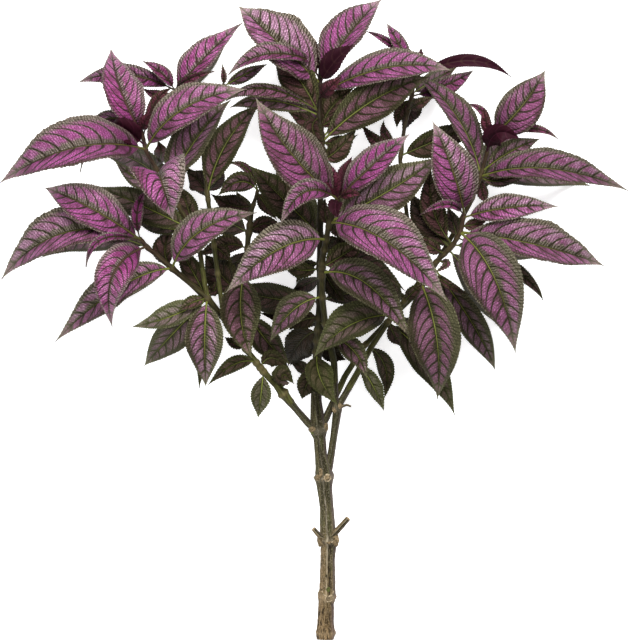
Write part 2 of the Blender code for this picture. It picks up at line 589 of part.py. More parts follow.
def blade_rows(leaf):
    """How many steps a blade has along it: more on a long, wide one."""
    if leaf.length < 40:
        return 3
    if leaf.length < 80 or leaf.half_width < 10:
        return 5
    return 8 if leaf.length > 105 else 7


def leaf_object(name, leaf):
    """A thin closed blade with a toothed edge, folded along its midrib."""
    rows = blade_rows(leaf)
    bm = bmesh.new()
    bmesh.ops.create_grid(bm, x_segments=rows, y_segments=2, size=1)
    for vert in bm.verts:
        row = round((vert.co.x + 1) / 2 * rows)
        across = round(vert.co.y)
        t = np.array(0.0 if row == 0 else leaf.petiole + (1 - leaf.petiole) * (row - 1) / (rows - 1))
        inside = 1 < row < rows
        tooth = (TOOTH_OUT if row % 2 else TOOTH_IN) if inside else 1
        vert.co = to_model(leaf.surface(t, np.array(across * tooth)))
    bmesh.ops.triangulate(bm, faces=bm.faces, quad_method="FIXED")
    bmesh.ops.solidify(bm, geom=bm.faces[:], thickness=BLADE_THICKNESS * MM)
    for vert in bm.verts:
        if vert.co.z < FLAT_SNAP * MM:
            vert.co.z = 0.0
    bmesh.ops.recalc_face_normals(bm, faces=bm.faces)
    mesh = bpy.data.meshes.new(name)
    bm.to_mesh(mesh)
    bm.free()
    return bpy.data.objects.new(name, mesh)


def drop_scraps(mesh):
    """Keeps only the largest connected part of a mesh."""
    bm = bmesh.new()
    bm.from_mesh(mesh)
    waiting, parts = set(bm.verts), []
    while waiting:
        part = front = {waiting.pop()}
        while front:
            front = {edge.other_vert(vert) for vert in front for edge in vert.link_edges} - part
            part = part | front
        waiting -= part
        parts.append(part)
    kept = max(parts, key=len)
    bmesh.ops.delete(bm, geom=[vert for vert in bm.verts if vert not in kept], context="VERTS")
    bm.to_mesh(mesh)
    bm.free()


def joined(name, pieces):
    """One solid from overlapping pieces, by one Boolean union on a collection."""
    first, *others = pieces
    scene = bpy.context.scene.collection
    scene.objects.link(first)
    first.name = name
    group = bpy.data.collections.new(name + "_pieces")
    scene.children.link(group)
    for piece in others:
        group.objects.link(piece)
    union = first.modifiers.new("Union", "BOOLEAN")
    union.operation = "UNION"
    union.operand_type = "COLLECTION"
    union.collection = group
    union.solver = "EXACT"
    graph = bpy.context.evaluated_depsgraph_get()
    mesh = bpy.data.meshes.new_from_object(first.evaluated_get(graph))
    drop_scraps(mesh)
    first.modifiers.clear()
    first.data = mesh
    mesh.name = name
    for piece in others:
        bpy.data.objects.remove(piece)
    bpy.data.collections.remove(group)
    return first


def finish(obj, colour, roughness):
    obj.data.materials.clear()
    obj.data.materials.append(material(obj.name + "_finish", colour, roughness))


def build_main_stem():
    trunk, *limbs = stubs_on_main()
    pieces = [stem_object("trunk", trunk, TRUNK_SIDES_RESOLUTION)]
    pieces += [stem_object("limb", path, STEM_SIDES_RESOLUTION) for path in limbs + TRUNK_STUBS]
    finish(joined("main_stem", pieces), *BARK)


def stubs_on_main():
    """The trunk first, then the limbs that fork from it."""
    return sorted(stubs_on("main_stem"), key=len, reverse=True)


def build_shoot(shoot, leaves):
    paths = own_paths(shoot) + stubs_on(shoot)
    pieces = [stem_object("stem", path, STEM_SIDES_RESOLUTION) for path in paths]
    pieces += [leaf_object("leaf", leaf) for leaf in leaves if leaf.shoot == shoot]
    finish(joined(shoot, pieces), SHOOT_COLOURS[shoot], LEAF_ROUGHNESS)


def main():
    clear_scene()
    leaves = all_leaves()
    build_main_stem()
    for shoot in LEAVES:
        build_shoot(shoot, leaves)


main()
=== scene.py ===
# %% [markdown]
# # A cut stem of Persian shield, lying on its back
#
# The real object is one woody stem, cut at the foot, whose limbs carry a wide crown of quilted
# leaves: magenta when young, lilac and silver later, grey-green when old. The packed solids give
# every limb and leaf its place. This lesson redraws them finely: veined, toothed blades, leaf
# stalks, ringed bark, and the paints, lights and camera that show them.

import math

import bmesh
import bpy
import numpy as np
from mathutils import Matrix, Vector, noise


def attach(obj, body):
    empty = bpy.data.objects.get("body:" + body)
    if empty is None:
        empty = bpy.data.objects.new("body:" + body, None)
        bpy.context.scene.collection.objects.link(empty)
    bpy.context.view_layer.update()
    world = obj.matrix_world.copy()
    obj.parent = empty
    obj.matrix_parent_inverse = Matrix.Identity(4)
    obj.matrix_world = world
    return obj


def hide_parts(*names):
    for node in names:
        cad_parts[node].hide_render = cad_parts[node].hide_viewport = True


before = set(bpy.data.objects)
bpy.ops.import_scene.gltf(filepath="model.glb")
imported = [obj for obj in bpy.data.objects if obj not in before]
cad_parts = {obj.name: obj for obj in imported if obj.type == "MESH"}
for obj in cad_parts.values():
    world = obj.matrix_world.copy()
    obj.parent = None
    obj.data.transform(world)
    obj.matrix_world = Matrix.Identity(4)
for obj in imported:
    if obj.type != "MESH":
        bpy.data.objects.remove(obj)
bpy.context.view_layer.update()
print("nodes of the frame:", sorted(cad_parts))

# %% [markdown]
# ## The plan of the plant
#
# All places are in millimetres on a drawing sheet that lies over the plant, 630 wide and 640
# long: x runs to the right, y runs down to the cut end, heights are above the surface. The solids
# were drawn from the same plan, so a fine leaf drawn from it lands where its solid is.

# %% Sizes that the solids share
MM = 0.001
# The place on the drawing sheet that lies over the model's origin.
SHEET_ORIGIN = (314.4, 319.6)

# Stems and blades; the halves of a blade rise from its midrib by the fold angle, and its
# width falls off to both ends as powers of the way along it.
SEAT_GAP = 0.3
BLADE_THICKNESS = 0.8
PETIOLE_LENGTH = 8.0
PETIOLE_SHARES = (0.05, 0.1)
PETIOLE_HALF_WIDTH = 1.5
TIP_HALF_WIDTH = 0.7
RIPPLE_SHARE = 0.04
RIPPLE_COUNTS = (2.2, 2.7, 3.2, 3.7)
RIPPLE_SHIFT = 2.4
BASE_SHAPE = (2.2, 0.9)
TIP_SHAPE = (1.7, 1.4)
USUAL_PEAK = 0.43
USUAL_FOLD = 18
# A blade is level where it starts and has its full roll from this share of its length on.
ROLL_START = 0.25

# The share of a stem's last step, at its very end, where no blade starts.
END_MARGIN = 0.04
# A blade's upper face is never lower than this, so its lower face stays on the surface.
FLOOR_HEIGHT = BLADE_THICKNESS

# Clearing: the sheet is looked at in small squares, and blades are bent until each lies
# over or under its neighbours in every square that they share. Blades of one shoot may
# meet near their roots, since they are fused there.
CELL = 5.0
LEAF_SAMPLES = (48, 13)
STEM_SAMPLE = 2
CLEAR_GAP = 3.2
ROOT_SHARE = 0.2
CLEAR_ROUNDS = 500
CLEAR_PACE = 0.9
CLEAR_STIFFNESS = 0.02
SURFACE_SLACK = 1
ALMOST_NONE = 1e-9
CELL_OFFSET = 200
CELL_ROW = 1000
print("blades are", BLADE_THICKNESS, "mm thick and are looked at in squares of", CELL, "mm")

# %% [markdown]
# The stems are paths of x, y, height and radius. Each shoot leaves its parent at the middle of
# one step of its path, which the table of joints names.

# %% Stem paths
CENTRE_PATH = [
    (325.4, 640, 9.4, 8.6), (325.6, 633, 9.9, 9.8), (325.6, 624, 13, 8.5), (326.3, 603, 19, 7.9),
    (327, 597, 21, 9.4), (327.5, 589, 23, 8.2), (327.8, 560, 32, 7.4), (328.5, 546, 36, 8.0),
    (328.5, 539, 38, 10.4), (327.8, 531, 41, 8.1), (326.8, 508, 48, 7.0), (324.6, 488, 54, 7.7),
    (324.2, 477, 58, 9.6), (323.4, 468, 61, 8.2), (321, 455, 65, 6.2), (319.6, 438, 70, 6.2),
    (318.4, 429, 73, 9.6), (317.6, 420, 75, 7.4), (316.2, 402, 80, 5.6), (316.5, 375, 88, 4.8),
    (318, 340, 98, 3.9), (320, 300, 110, 3.2), (320, 262, 118, 3.0), (320.5, 200, 118, 2.8),
    (322, 140, 112, 2.6), (319, 115, 110, 2.5), (320, 85, 107, 2.0), (320, 60, 104, 1.4),
]
FRONT_PATH = [
    (324, 478, 58, 6.0), (328, 468, 61, 5.0), (331, 455, 65, 3.8), (334, 435, 72, 3.6),
    (337, 413, 79, 4.4), (337, 407, 81, 5.6), (335, 398, 84, 3.6), (334, 362, 100, 3.2),
    (325, 322, 121, 2.9), (322, 296, 132, 3.0), (322, 262, 148, 3.0), (329, 225, 172, 2.6),
    (338, 199, 186, 2.2),
]
RIGHT_LOWER_PATH = [
    (337, 408, 81, 3.8), (343, 398, 84, 3.4), (355, 377, 92, 3.1), (370, 349, 104, 2.7),
    (388, 322, 114, 2.4), (405, 300, 122, 2.4), (430, 268, 135, 2.3), (452, 246, 145, 2.2),
    (460, 232, 150, 2.1), (464, 214, 153, 1.5),
]
RIGHT_UPPER_PATH = [
    (319, 428, 73, 5.0), (326, 418, 75, 3.8), (332, 404, 77, 3.2), (345, 376, 80, 2.8),
    (365, 345, 86, 2.5), (388, 321, 92, 2.4), (420, 290, 98, 2.3), (448, 243, 102, 2.3),
    (470, 203, 106, 2.2), (480, 178, 110, 2.1), (487, 152, 111, 1.9), (492, 133, 112, 1.3),
]
RIGHT_BACK_PATH = [
    (420, 290, 98, 2.2), (417, 276, 95, 2.1), (408, 225, 84, 2.0), (400, 160, 76, 1.9),
    (404, 130, 73, 1.8), (412, 95, 68, 1.7), (417, 62, 64, 1.2),
]
LEFT_LOWER_PATH = [
    (317, 428, 73, 5.5), (309, 424, 76, 3.8), (296, 409, 82, 3.4), (283, 393, 88, 4.6),
    (276, 385, 91, 3.0), (263, 371, 97, 3.0), (245, 348, 105, 2.8), (225, 320, 114, 2.8),
    (208, 299, 122, 3.4), (190, 283, 127, 2.6), (173, 269, 132, 2.8), (158, 256, 136, 2.2),
    (148, 248, 139, 2.2), (140, 238, 142, 1.5),
]
LEFT_UPPER_PATH = [
    (208, 299, 122, 2.6), (205, 285, 124, 2.4), (200, 250, 128, 2.3), (190, 225, 131, 2.2),
    (178, 205, 134, 2.2), (160, 175, 140, 2.0), (147, 153, 144, 2.0), (142, 131, 147, 1.4),
]
LEFT_BACK_PATH = [
    (225, 320, 114, 2.4), (222, 305, 112, 2.2), (214, 245, 104, 2.2), (207, 190, 100, 2.0),
    (204, 156, 98, 2.4), (212, 120, 95, 1.8), (224, 84, 92, 1.3),
]
LEFT_BACK_FORK = [(204, 156, 98, 2.0), (192, 122, 91, 1.7), (174, 89, 86, 1.3)]
LEFT_INNER_PATH = [
    (245, 348, 105, 2.4), (244, 334, 103, 2.2), (242, 300, 100, 2.2), (247, 250, 98, 2.2),
    (249, 232, 97, 3.0), (252, 210, 96, 2.0), (258, 190, 95, 1.4),
]
# Two pruned twigs at the trunk's third ring, and a withered one at the right limb's ring.
TRUNK_STUBS = [
    [(329, 539, 40, 2.8), (337, 531, 48, 2.5), (348, 518.5, 54, 2.2)],
    [(328, 540, 40, 2.5), (320, 536.5, 46, 2.1), (313.5, 529, 50, 1.8)],
    [(337, 408, 82, 2.2), (343, 406, 85, 1.4), (347, 404.5, 87, 1.2), (351, 406.5, 86, 0.9)],
]
print("the longest stem has", len(CENTRE_PATH), "points")

# %% [markdown]
# Each leaf is a base, a middle and a tip, with the widths seen to the left and right of its
# midrib, so a folded or turned blade has uneven halves.

# %% Leaves
# Each leaf: base x y, middle x y height, tip x y height, the widths seen to the left
# and right of its midrib from the base, then, where it isn't as most are, where along
# it the blade is widest and its least fold in degrees. The base height is the stem's.
LEAVES = {
    "front_shoot": [
        ((338, 200), (292, 155, 215), (256, 99, 190), (23, 28)),
        ((339, 198), (372, 166, 205), (409, 135, 182), (17, 13), 0.46, 24),
        ((338, 200), (305, 193, 222), (280, 227, 204), (10, 12), 0.46, 28),
        ((338, 199), (350, 194, 203), (361, 197, 206), (5, 5), 0.46, 30),
        ((338, 200), (335, 208, 200), (338, 218, 202), (7, 7), 0.46, 34),
        ((338, 200), (332, 181, 200), (328, 162, 204), (7, 8), 0.46, 34),
        ((338, 199), (343, 178, 196), (352, 157, 190), (7, 7), 0.46, 30),
        ((330, 222), (384, 194, 176), (441, 156, 150), (22, 21), 0.5),
        ((330, 223), (388, 243, 208), (447, 302, 172), (31, 20)),
        ((326, 240), (278, 250, 196), (226, 293, 166), (22, 24)),
        ((322, 273), (368, 285, 160), (411, 340, 138), (20, 18)),
        ((322, 297), (293, 310, 138), (270, 342, 116), (13, 15)),
        ((322, 268), (343, 255, 152), (366, 240, 150), (12, 12)),
        ((332, 335), (353, 350, 120), (367, 379, 110), (11, 11)),
        ((322, 262), (362, 262, 138), (405, 291, 122), (13, 11)),
        ((324, 250), (336, 246, 142), (346, 228, 134), (7, 7)),
        ((338, 201), (337, 190, 186), (337, 176, 184), (7, 7)),
        ((329, 226), (325, 214, 174), (325, 198, 174), (6, 5)),
        ((330, 224), (335, 230, 168), (339, 240, 162), (5, 5)),
    ],
    "top_shoot": [
        ((320, 85), (277, 42, 122), (238, 6, 92), (18, 31)),
        ((320, 80), (349, 35, 116), (382, -1, 84), (24, 12)),
        ((320, 80), (303, 50, 98), (289, 27, 80), (9, 15), 0.46, 28),
        ((320, 66), (270, 55, 142), (228, 76, 122), (6, 12), 0.5, 32),
        ((320, 85), (335, 62, 124), (353, 46, 120), (12, 8), 0.46, 34),
        ((320, 95), (388, 68, 134), (451, 71, 106), (18, 13), 0.5),
        ((319, 116), (297, 77, 104), (270, 53, 84), (18, 16)),
        ((322, 142), (373, 101, 108), (430, 77, 84), (20, 20), 0.5),
        ((319, 112), (266, 89, 134), (226, 102, 114), (9, 5), 0.5, 34),
        ((319, 116), (271, 101, 120), (230, 108, 100), (10, 7), 0.5, 30),
        ((319, 118), (313, 132, 124), (330, 158, 128), (9, 9), 0.46, 28),
        ((322, 160), (338, 150, 122), (357, 127, 112), (9, 11)),
        ((318, 236), (284, 200, 150), (250, 166, 134), (17, 20)),
        ((317, 268), (300, 270, 112), (281, 262, 100), (8, 8)),
        ((315, 368), (307, 384, 96), (302, 399, 90), (10, 10)),
        ((316, 352), (320, 377, 98), (337, 404, 92), (14, 13)),
        ((316, 330), (300, 342, 88), (288, 366, 66), (14, 14)),
        ((316, 318), (334, 332, 84), (346, 358, 60), (12, 14)),
        ((316, 300), (270, 298, 66), (226, 285, 30), (15, 15)),
        ((316, 300), (365, 292, 62), (413, 300, 24), (15, 15)),
        ((318, 240), (298, 200, 72), (272, 150, 26), (16, 16)),
        ((319, 220), (355, 205, 66), (400, 182, 24), (16, 16)),
        ((322, 135), (304, 82, 66), (262, 28, -40), (12, 12)),
        ((322, 138), (370, 102, 60), (420, 84, -30), (15, 15)),
        ((317, 262), (306, 268, 108), (296, 284, 100), (7, 7)),
        ((317, 262), (332, 286, 104), (345, 302, 98), (9, 9)),
        ((318, 240), (333, 246, 106), (350, 266, 98), (9, 9)),
        ((316, 330), (304, 345, 82), (290, 366, 74), (12, 12)),
        ((316, 340), (330, 352, 84), (346, 360, 78), (9, 9)),
        ((321, 128), (333, 106, 96), (354, 88, 84), (13, 9)),
        ((318, 318), (304, 320, 100), (289, 330, 94), (9, 9)),
    ],
    "right_back_shoot": [
        ((416, 72), (398, 43, 76), (387, 23, 62), (6, 8)),
        ((416, 66), (388, 42, 66), (365, 31, 52), (4, 4)),
        ((417, 63), (420, 56, 70), (421, 48, 74), (4, 4)),
        ((415, 78), (468, 61, 84), (512, 78, 68), (7, 6), 0.46, 30),
        ((412, 96), (446, 85, 74), (474, 70, 60), (8, 11)),
        ((410, 96), (411, 108, 56), (402, 133, 42), (11, 10)),
        ((411, 98), (400, 112, 60), (397, 128, 54), (6, 6)),
        ((401, 152), (378, 142, 70), (361, 123, 66), (7, 6)),
        ((401, 150), (386, 136, 68), (384, 120, 62), (5, 5)),
        ((401, 156), (438, 140, 74), (484, 122, 52), (12, 15)),
        ((412, 95), (434, 80, 34), (458, 66, -40), (9, 9)),
    ],
    "right_upper_shoot": [
        ((491, 138), (521, 107, 132), (545, 70, 104), (20, 21)),
        ((492, 133), (482, 112, 126), (466, 105, 122), (4, 4)),
        ((489, 154), (497, 134, 138), (520, 140, 136), (10, 12), 0.42, 24),
        ((491, 138), (530, 129, 120), (558, 140, 116), (5, 4), 0.46, 34),
        ((480, 176), (456, 116, 100), (413, 74, 72), (9, 17)),
        ((482, 172), (510, 152, 116), (540, 139, 96), (11, 11)),
        ((480, 178), (548, 169, 128), (629, 191, 76), (20, 11), 0.5),
        ((480, 178), (502, 181, 100), (536, 168, 84), (9, 6)),
        ((480, 178), (482, 192, 100), (487, 204, 94), (6, 6)),
        ((388, 321), (428, 361, 84), (455, 416, 58), (15, 16)),
        ((356, 359), (373, 386, 76), (384, 411, 68), (9, 7)),
        ((365, 345), (385, 367, 66), (384, 399, 52), (9, 8)),
        ((480, 178), (532, 176, 62), (594, 186, -34), (12, 10)),
        ((472, 198), (494, 156, 60), (528, 104, -30), (14, 14)),
        ((395, 314), (424, 345, 48), (442, 384, -30), (14, 14)),
    ],
    "right_lower_shoot": [
        ((463, 214), (452, 171, 184), (432, 122, 164), (21, 23), 0.42),
        ((463, 216), (446, 205, 190), (419, 216, 184), (4, 5), 0.46, 42),
        ((463, 218), (508, 208, 168), (558, 207, 140), (14, 12), 0.42),
        ((460, 232), (535, 245, 164), (604, 266, 112), (25, 14), 0.5),
        ((460, 233), (494, 279, 186), (515, 354, 142), (27, 28), 0.43),
        ((457, 238), (515, 270, 132), (543, 301, 106), (7, 6), 0.46, 30),
        ((436, 262), (446, 264, 152), (432, 274, 156), (4, 4)),
        ((420, 281), (436, 337, 152), (437, 399, 106), (24, 27)),
        ((432, 266), (473, 325, 112), (495, 370, 80), (13, 14)),
        ((428, 270), (450, 286, 142), (470, 295, 134), (4, 4)),
        ((450, 248), (426, 222, 128), (411, 192, 108), (13, 15)),
        ((452, 246), (432, 208, 146), (431, 168, 138), (12, 12)),
        ((444, 254), (430, 246, 152), (418, 236, 148), (7, 7)),
        ((405, 300), (413, 292, 134), (426, 281, 134), (6, 6)),
        ((393, 315), (350, 325, 136), (314, 357, 120), (14, 21)),
        ((388, 322), (394, 335, 106), (401, 346, 96), (7, 7)),
        ((452, 246), (505, 248, 82), (568, 254, 6), (14, 12)),
        ((448, 250), (482, 290, 70), (509, 336, -34), (15, 15)),
        ((452, 246), (440, 238, 128), (428, 226, 124), (7, 7)),
        ((457, 238), (453, 224, 134), (447, 206, 126), (8, 7)),
        ((461, 226), (473, 225, 150), (488, 219, 146), (6, 6)),
    ],
    "left_lower_shoot": [
        ((142, 242), (93, 209, 166), (45, 188, 128), (18, 22), 0.5),
        ((141, 238), (138, 212, 168), (147, 190, 158), (6, 6), 0.46, 28),
        ((142, 242), (66, 233, 168), (1, 280, 92), (15, 26), 0.48),
        ((142, 242), (103, 240, 190), (87, 268, 168), (4, 5), 0.46, 40),
        ((147, 247), (114, 275, 196), (113, 327, 142), (18, 18), 0.42),
        ((173, 269), (119, 288, 138), (55, 342, 72), (14, 19), 0.55),
        ((173, 269), (203, 230, 170), (258, 213, 150), (19, 15)),
        ((173, 268), (165, 250, 122), (173, 228, 112), (12, 12)),
        ((208, 299), (192, 270, 116), (176, 243, 104), (10, 10)),
        ((208, 299), (205, 340, 128), (206, 387, 88), (18, 19), 0.44),
        ((208, 299), (172, 316, 118), (132, 327, 84), (10, 13)),
        ((208, 299), (172, 335, 104), (144, 366, 58), (17, 15)),
        ((208, 299), (192, 303, 134), (179, 311, 130), (6, 7)),
        ((208, 299), (203, 345, 86), (199, 389, 56), (7, 8)),
        ((256, 363), (235, 364, 108), (208, 385, 92), (7, 8), 0.46, 30),
        ((263, 371), (261, 395, 88), (258, 418, 76), (10, 10)),
        ((283, 393), (283, 375, 98), (294, 384, 100), (10, 9), 0.46, 32),
        ((245, 348), (234, 343, 112), (225, 337, 110), (5, 5)),
        ((148, 248), (98, 238, 74), (40, 258, -34), (13, 13)),
        ((173, 269), (126, 286, 66), (80, 318, -30), (11, 11)),
        ((260, 368), (272, 358, 100), (290, 370, 96), (8, 9)),
    ],
    "left_upper_shoot": [
        ((146, 150), (75, 149, 178), (0, 184, 96), (16, 30), 0.47),
        ((142, 135), (122, 92, 168), (111, 48, 124), (16, 21)),
        ((143, 140), (105, 121, 152), (80, 174, 104), (10, 8), 0.4, 28),
        ((145, 146), (126, 130, 170), (114, 124, 164), (11, 11), 0.46, 38),
        ((142, 133), (146, 122, 162), (153, 114, 164), (6, 6), 0.46, 36),
        ((147, 150), (185, 109, 172), (247, 90, 138), (21, 16), 0.5),
        ((160, 174), (163, 184, 190), (174, 221, 165), (29, 26), 0.26, 30),
        ((170, 190), (194, 143, 124), (231, 100, 100), (22, 13)),
        ((166, 184), (140, 181, 118), (114, 159, 96), (8, 10)),
        ((192, 230), (145, 207, 120), (95, 186, 84), (15, 17)),
        ((192, 230), (158, 227, 112), (133, 216, 94), (7, 7)),
        ((196, 240), (188, 208, 110), (178, 185, 100), (10, 10)),
        ((178, 205), (142, 164, 76), (90, 150, -34), (14, 14)),
    ],
    "left_back_shoot": [
        ((175, 90), (125, 75, 92), (77, 83, 62), (11, 11), 0.46, 24),
        ((174, 89), (162, 74, 96), (142, 61, 88), (5, 8), 0.46, 28),
        ((176, 94), (157, 95, 84), (143, 88, 78), (5, 5)),
        ((177, 92), (203, 60, 100), (243, 22, 70), (18, 9)),
        ((175, 90), (190, 79, 108), (215, 72, 104), (4, 5), 0.46, 40),
        ((223, 86), (224, 76, 96), (222, 64, 96), (3, 3)),
        ((223, 87), (245, 75, 94), (268, 64, 80), (6, 7)),
        ((208, 195), (226, 144, 100), (262, 102, 82), (17, 14)),
        ((207, 195), (200, 182, 84), (186, 172, 72), (12, 11)),
        ((207, 192), (216, 182, 80), (224, 167, 68), (8, 8)),
        ((178, 96), (200, 70, 44), (228, 40, -40), (11, 9)),
        ((214, 245), (222, 252, 96), (232, 262, 92), (8, 8)),
    ],
    "left_inner_shoot": [
        ((258, 190), (240, 182, 108), (218, 196, 98), (10, 10), 0.46, 28),
        ((258, 190), (246, 168, 104), (227, 164, 100), (4, 4)),
        ((254, 205), (234, 206, 84), (211, 194, 74), (11, 11)),
        ((249, 232), (264, 224, 92), (284, 228, 84), (8, 8)),
        ((247, 250), (226, 245, 88), (196, 257, 76), (9, 10)),
        ((245, 268), (241, 315, 112), (252, 358, 116), (20, 20)),
        ((242, 305), (266, 340, 92), (290, 364, 84), (13, 14)),
        ((242, 296), (222, 276, 84), (205, 254, 68), (16, 16)),
        ((249, 232), (228, 222, 62), (200, 208, 24), (14, 14)),
        ((247, 250), (238, 262, 88), (226, 270, 80), (8, 8)),
        ((249, 232), (262, 226, 84), (272, 216, 80), (8, 8)),
        ((258, 192), (265, 204, 88), (277, 220, 82), (7, 7)),
    ],
}
print("leaves in the table:", {shoot: len(rows) for shoot, rows in LEAVES.items()})

# %% [markdown]
# Two more tables say which paths are a shoot's own stems, and where it leaves which parent.

# %% Shoots and their joints
STEM_PATHS = {
    "front_shoot": [FRONT_PATH],
    "top_shoot": [CENTRE_PATH],
    "right_back_shoot": [RIGHT_BACK_PATH],
    "right_upper_shoot": [RIGHT_UPPER_PATH],
    "right_lower_shoot": [RIGHT_LOWER_PATH],
    "left_lower_shoot": [LEFT_LOWER_PATH],
    "left_upper_shoot": [LEFT_UPPER_PATH],
    "left_back_shoot": [LEFT_BACK_PATH, LEFT_BACK_FORK],
    "left_inner_shoot": [LEFT_INNER_PATH],
}
# The step of each first path at which the shoot leaves its parent, and the parent.
JOINTS = {
    "front_shoot": (6, "main_stem"),
    "top_shoot": (18, "main_stem"),
    "right_upper_shoot": (2, "main_stem"),
    "right_lower_shoot": (1, "main_stem"),
    "left_lower_shoot": (2, "main_stem"),
    "right_back_shoot": (1, "right_upper_shoot"),
    "left_upper_shoot": (1, "left_lower_shoot"),
    "left_back_shoot": (1, "left_lower_shoot"),
    "left_inner_shoot": (1, "left_lower_shoot"),
}
parents = [parent for _, parent in JOINTS.values()]
print("shoots that leave the main stem:", parents.count("main_stem"))

# %% [markdown]
# ## How old each leaf is
#
# Colour on this plant is age: the youngest leaves are magenta or maroon, full-grown ones lilac with
# a silver bloom, old ones green-grey. Leaves deep in the crown get painted shade, which makes them
# nearly brown. So each row of the table gets an age from 0 to 1 and an amount of painted shade from
# 0 to 1, in the same order, and the few young hoods that show their maroon backs are named apart.

# %% Ages, painted shade and hoods
AGES = {
    "front_shoot": [
        (0.38, 0.16), (0.28, 0.06), (0.34, 0.12), (0.1, 0.5), (0, 0.5), (0, 0.45), (0, 0.6),
        (0.6, 0.06), (0.4, 0), (0.46, 0.02), (0.62, 0.1), (0.66, 0.14), (0.6, 0.5), (0.7, 0.2),
        (0.6, 0.5), (0.6, 0.75), (0.05, 0.7), (0.5, 0.8), (0.6, 0.75),
    ],
    "top_shoot": [
        (0.4, 0), (0.32, 0.04), (0.1, 0.5), (0.3, 0.15), (0.1, 0.55), (0.4, 0), (0.55, 0.45),
        (0.6, 0.25), (0.5, 0.2), (0.7, 0.15), (0.5, 0.75), (0.6, 0.6), (0.7, 0.45), (0.8, 0.6),
        (0.8, 0.75), (0.9, 0.5), (0.8, 0.92), (0.8, 0.92), (0.7, 0.5), (0.7, 0.5),
        (0.7, 0.3), (0.7, 0.3), (0.65, 0.15), (0.65, 0.15), (0.7, 0.75), (0.8, 0.7), (0.7, 0.6),
        (0.8, 0.92), (0.8, 0.85), (0.6, 0.6), (0.8, 0.85),
    ],
    "right_back_shoot": [
        (0.3, 0.05), (0.2, 0.1), (0.2, 0.3), (0.15, 0.5), (0.3, 0.15), (0.5, 0.8), (0.5, 0.8),
        (0.4, 0.6), (0.4, 0.6), (0.7, 0.6), (0.6, 0.2),
    ],
    "right_upper_shoot": [
        (0.42, 0.14), (0.2, 0.22), (0, 0.35), (0.24, 0.25), (0.5, 0.12), (0.6, 0.15), (0.45, 0.1),
        (0.6, 0.35), (0.3, 0.6), (0.85, 0.3), (0.95, 0.2), (0.8, 0.6), (0.7, 0.2), (0.7, 0.2),
        (0.8, 0.2),
    ],
    "right_lower_shoot": [
        (0.34, 0.1), (0.2, 0.15), (0.38, 0.06), (0.46, 0.06), (0.5, 0.04), (0.5, 0.5), (0.4, 0.3),
        (0.6, 0.15), (0.75, 0.1), (0.5, 0.6), (0.6, 0.75), (0.5, 0.55), (0.5, 0.55), (0.6, 0.5),
        (0.85, 0.25), (0.6, 0.7), (0.7, 0.15), (0.7, 0.2), (0.6, 0.6), (0.6, 0.65), (0.5, 0.5),
    ],
    "left_lower_shoot": [
        (0.35, 0), (0.2, 0.15), (0.45, 0), (0.26, 0.08), (0.22, 0), (0.5, 0), (0.48, 0),
        (0.5, 0.6), (0.7, 0.5), (0.6, 0.05), (0.88, 0), (0.84, 0), (0.6, 0.4), (0.7, 0.5),
        (0.8, 0.4), (0.95, 0.15), (0.8, 0.65), (0.6, 0.5), (0.7, 0.2), (0.7, 0.2), (0.8, 0.75),
    ],
    "left_upper_shoot": [
        (0.35, 0), (0.2, 0.05), (0.4, 0.1), (0, 0.3), (0, 0.6), (0.4, 0), (0.3, 0), (0.6, 0.1),
        (0.8, 0.1), (0.8, 0.3), (0.85, 0.2), (0.6, 0.7), (0.7, 0.2),
    ],
    "left_back_shoot": [
        (0.3, 0.05), (0.2, 0.15), (0.2, 0.3), (0.25, 0), (0.2, 0.35), (0.3, 0.3), (0.6, 0.05),
        (0.62, 0.3), (0.5, 0.85), (0.5, 0.85), (0.6, 0.2), (0.6, 0.8),
    ],
    "left_inner_shoot": [
        (0.6, 0.25), (0.5, 0.3), (0.5, 0.9), (0.5, 0.8), (0.5, 0.75), (0.6, 0.25), (0.72, 0.3),
        (0.6, 0.75), (0.7, 0.5), (0.6, 0.85), (0.6, 0.9), (0.6, 0.75),
    ],
}
# The rows, counted from 0, of the young hoods that turn their maroon backs up.
HOODS = {
    "front_shoot": [4], "top_shoot": [4], "right_back_shoot": [3], "right_upper_shoot": [2],
    "left_upper_shoot": [3],
}
for shoot, rows in LEAVES.items():
    assert len(AGES[shoot]) == len(rows), shoot
print("leaves with an age:", sum(len(rows) for rows in AGES.values()))

# %% [markdown]
# ## From the plan to stems and blades
#
# A shoot's own stem starts 0.3 mm past the end of its parent's stub, and its leaves start on
# that stem.

# %% Where stems part and leaves start
def stem_halves(path, step):
    """A path parted at the middle of one step: the parent's stub and the shoot's own stem."""
    before, after = np.array(path[step], float), np.array(path[step + 1], float)
    along = (after - before) / np.linalg.norm((after - before)[:3])
    middle = (before + after) / 2
    stub = [*path[: step + 1], tuple(middle - along * SEAT_GAP / 2)]
    own = [tuple(middle + along * SEAT_GAP / 2), *path[step + 1 :]]
    return stub, own


def own_paths(shoot):
    """The stem paths that belong to one shoot, from its joint outwards."""
    first, *others = STEM_PATHS[shoot]
    return [stem_halves(first, JOINTS[shoot][0])[1], *others]


def stubs_on(parent):
    """The short stems that a parent carries for the shoots that leave it."""
    return [
        stem_halves(STEM_PATHS[shoot][0], step)[0]
        for shoot, (step, carrier) in JOINTS.items()
        if carrier == parent
    ]


def nearest_on_stem(paths, x, y):
    """The point of a stem's axis that lies nearest a place on the sheet."""
    best = None
    for path in paths:
        for start, end in zip(path[:-1], path[1:]):
            a, b = np.array(start[:3], float), np.array(end[:3], float)
            run = (b - a)[:2]
            share = np.dot([x - a[0], y - a[1]], run) / (run @ run)
            share = np.clip(share, END_MARGIN, 1 - END_MARGIN)
            point = a + (b - a) * share
            away = math.hypot(point[0] - x, point[1] - y)
            if best is None or away < best[0]:
                best = (away, point)
    return best[1]


print("stubs on the main stem:", len(stubs_on("main_stem")))

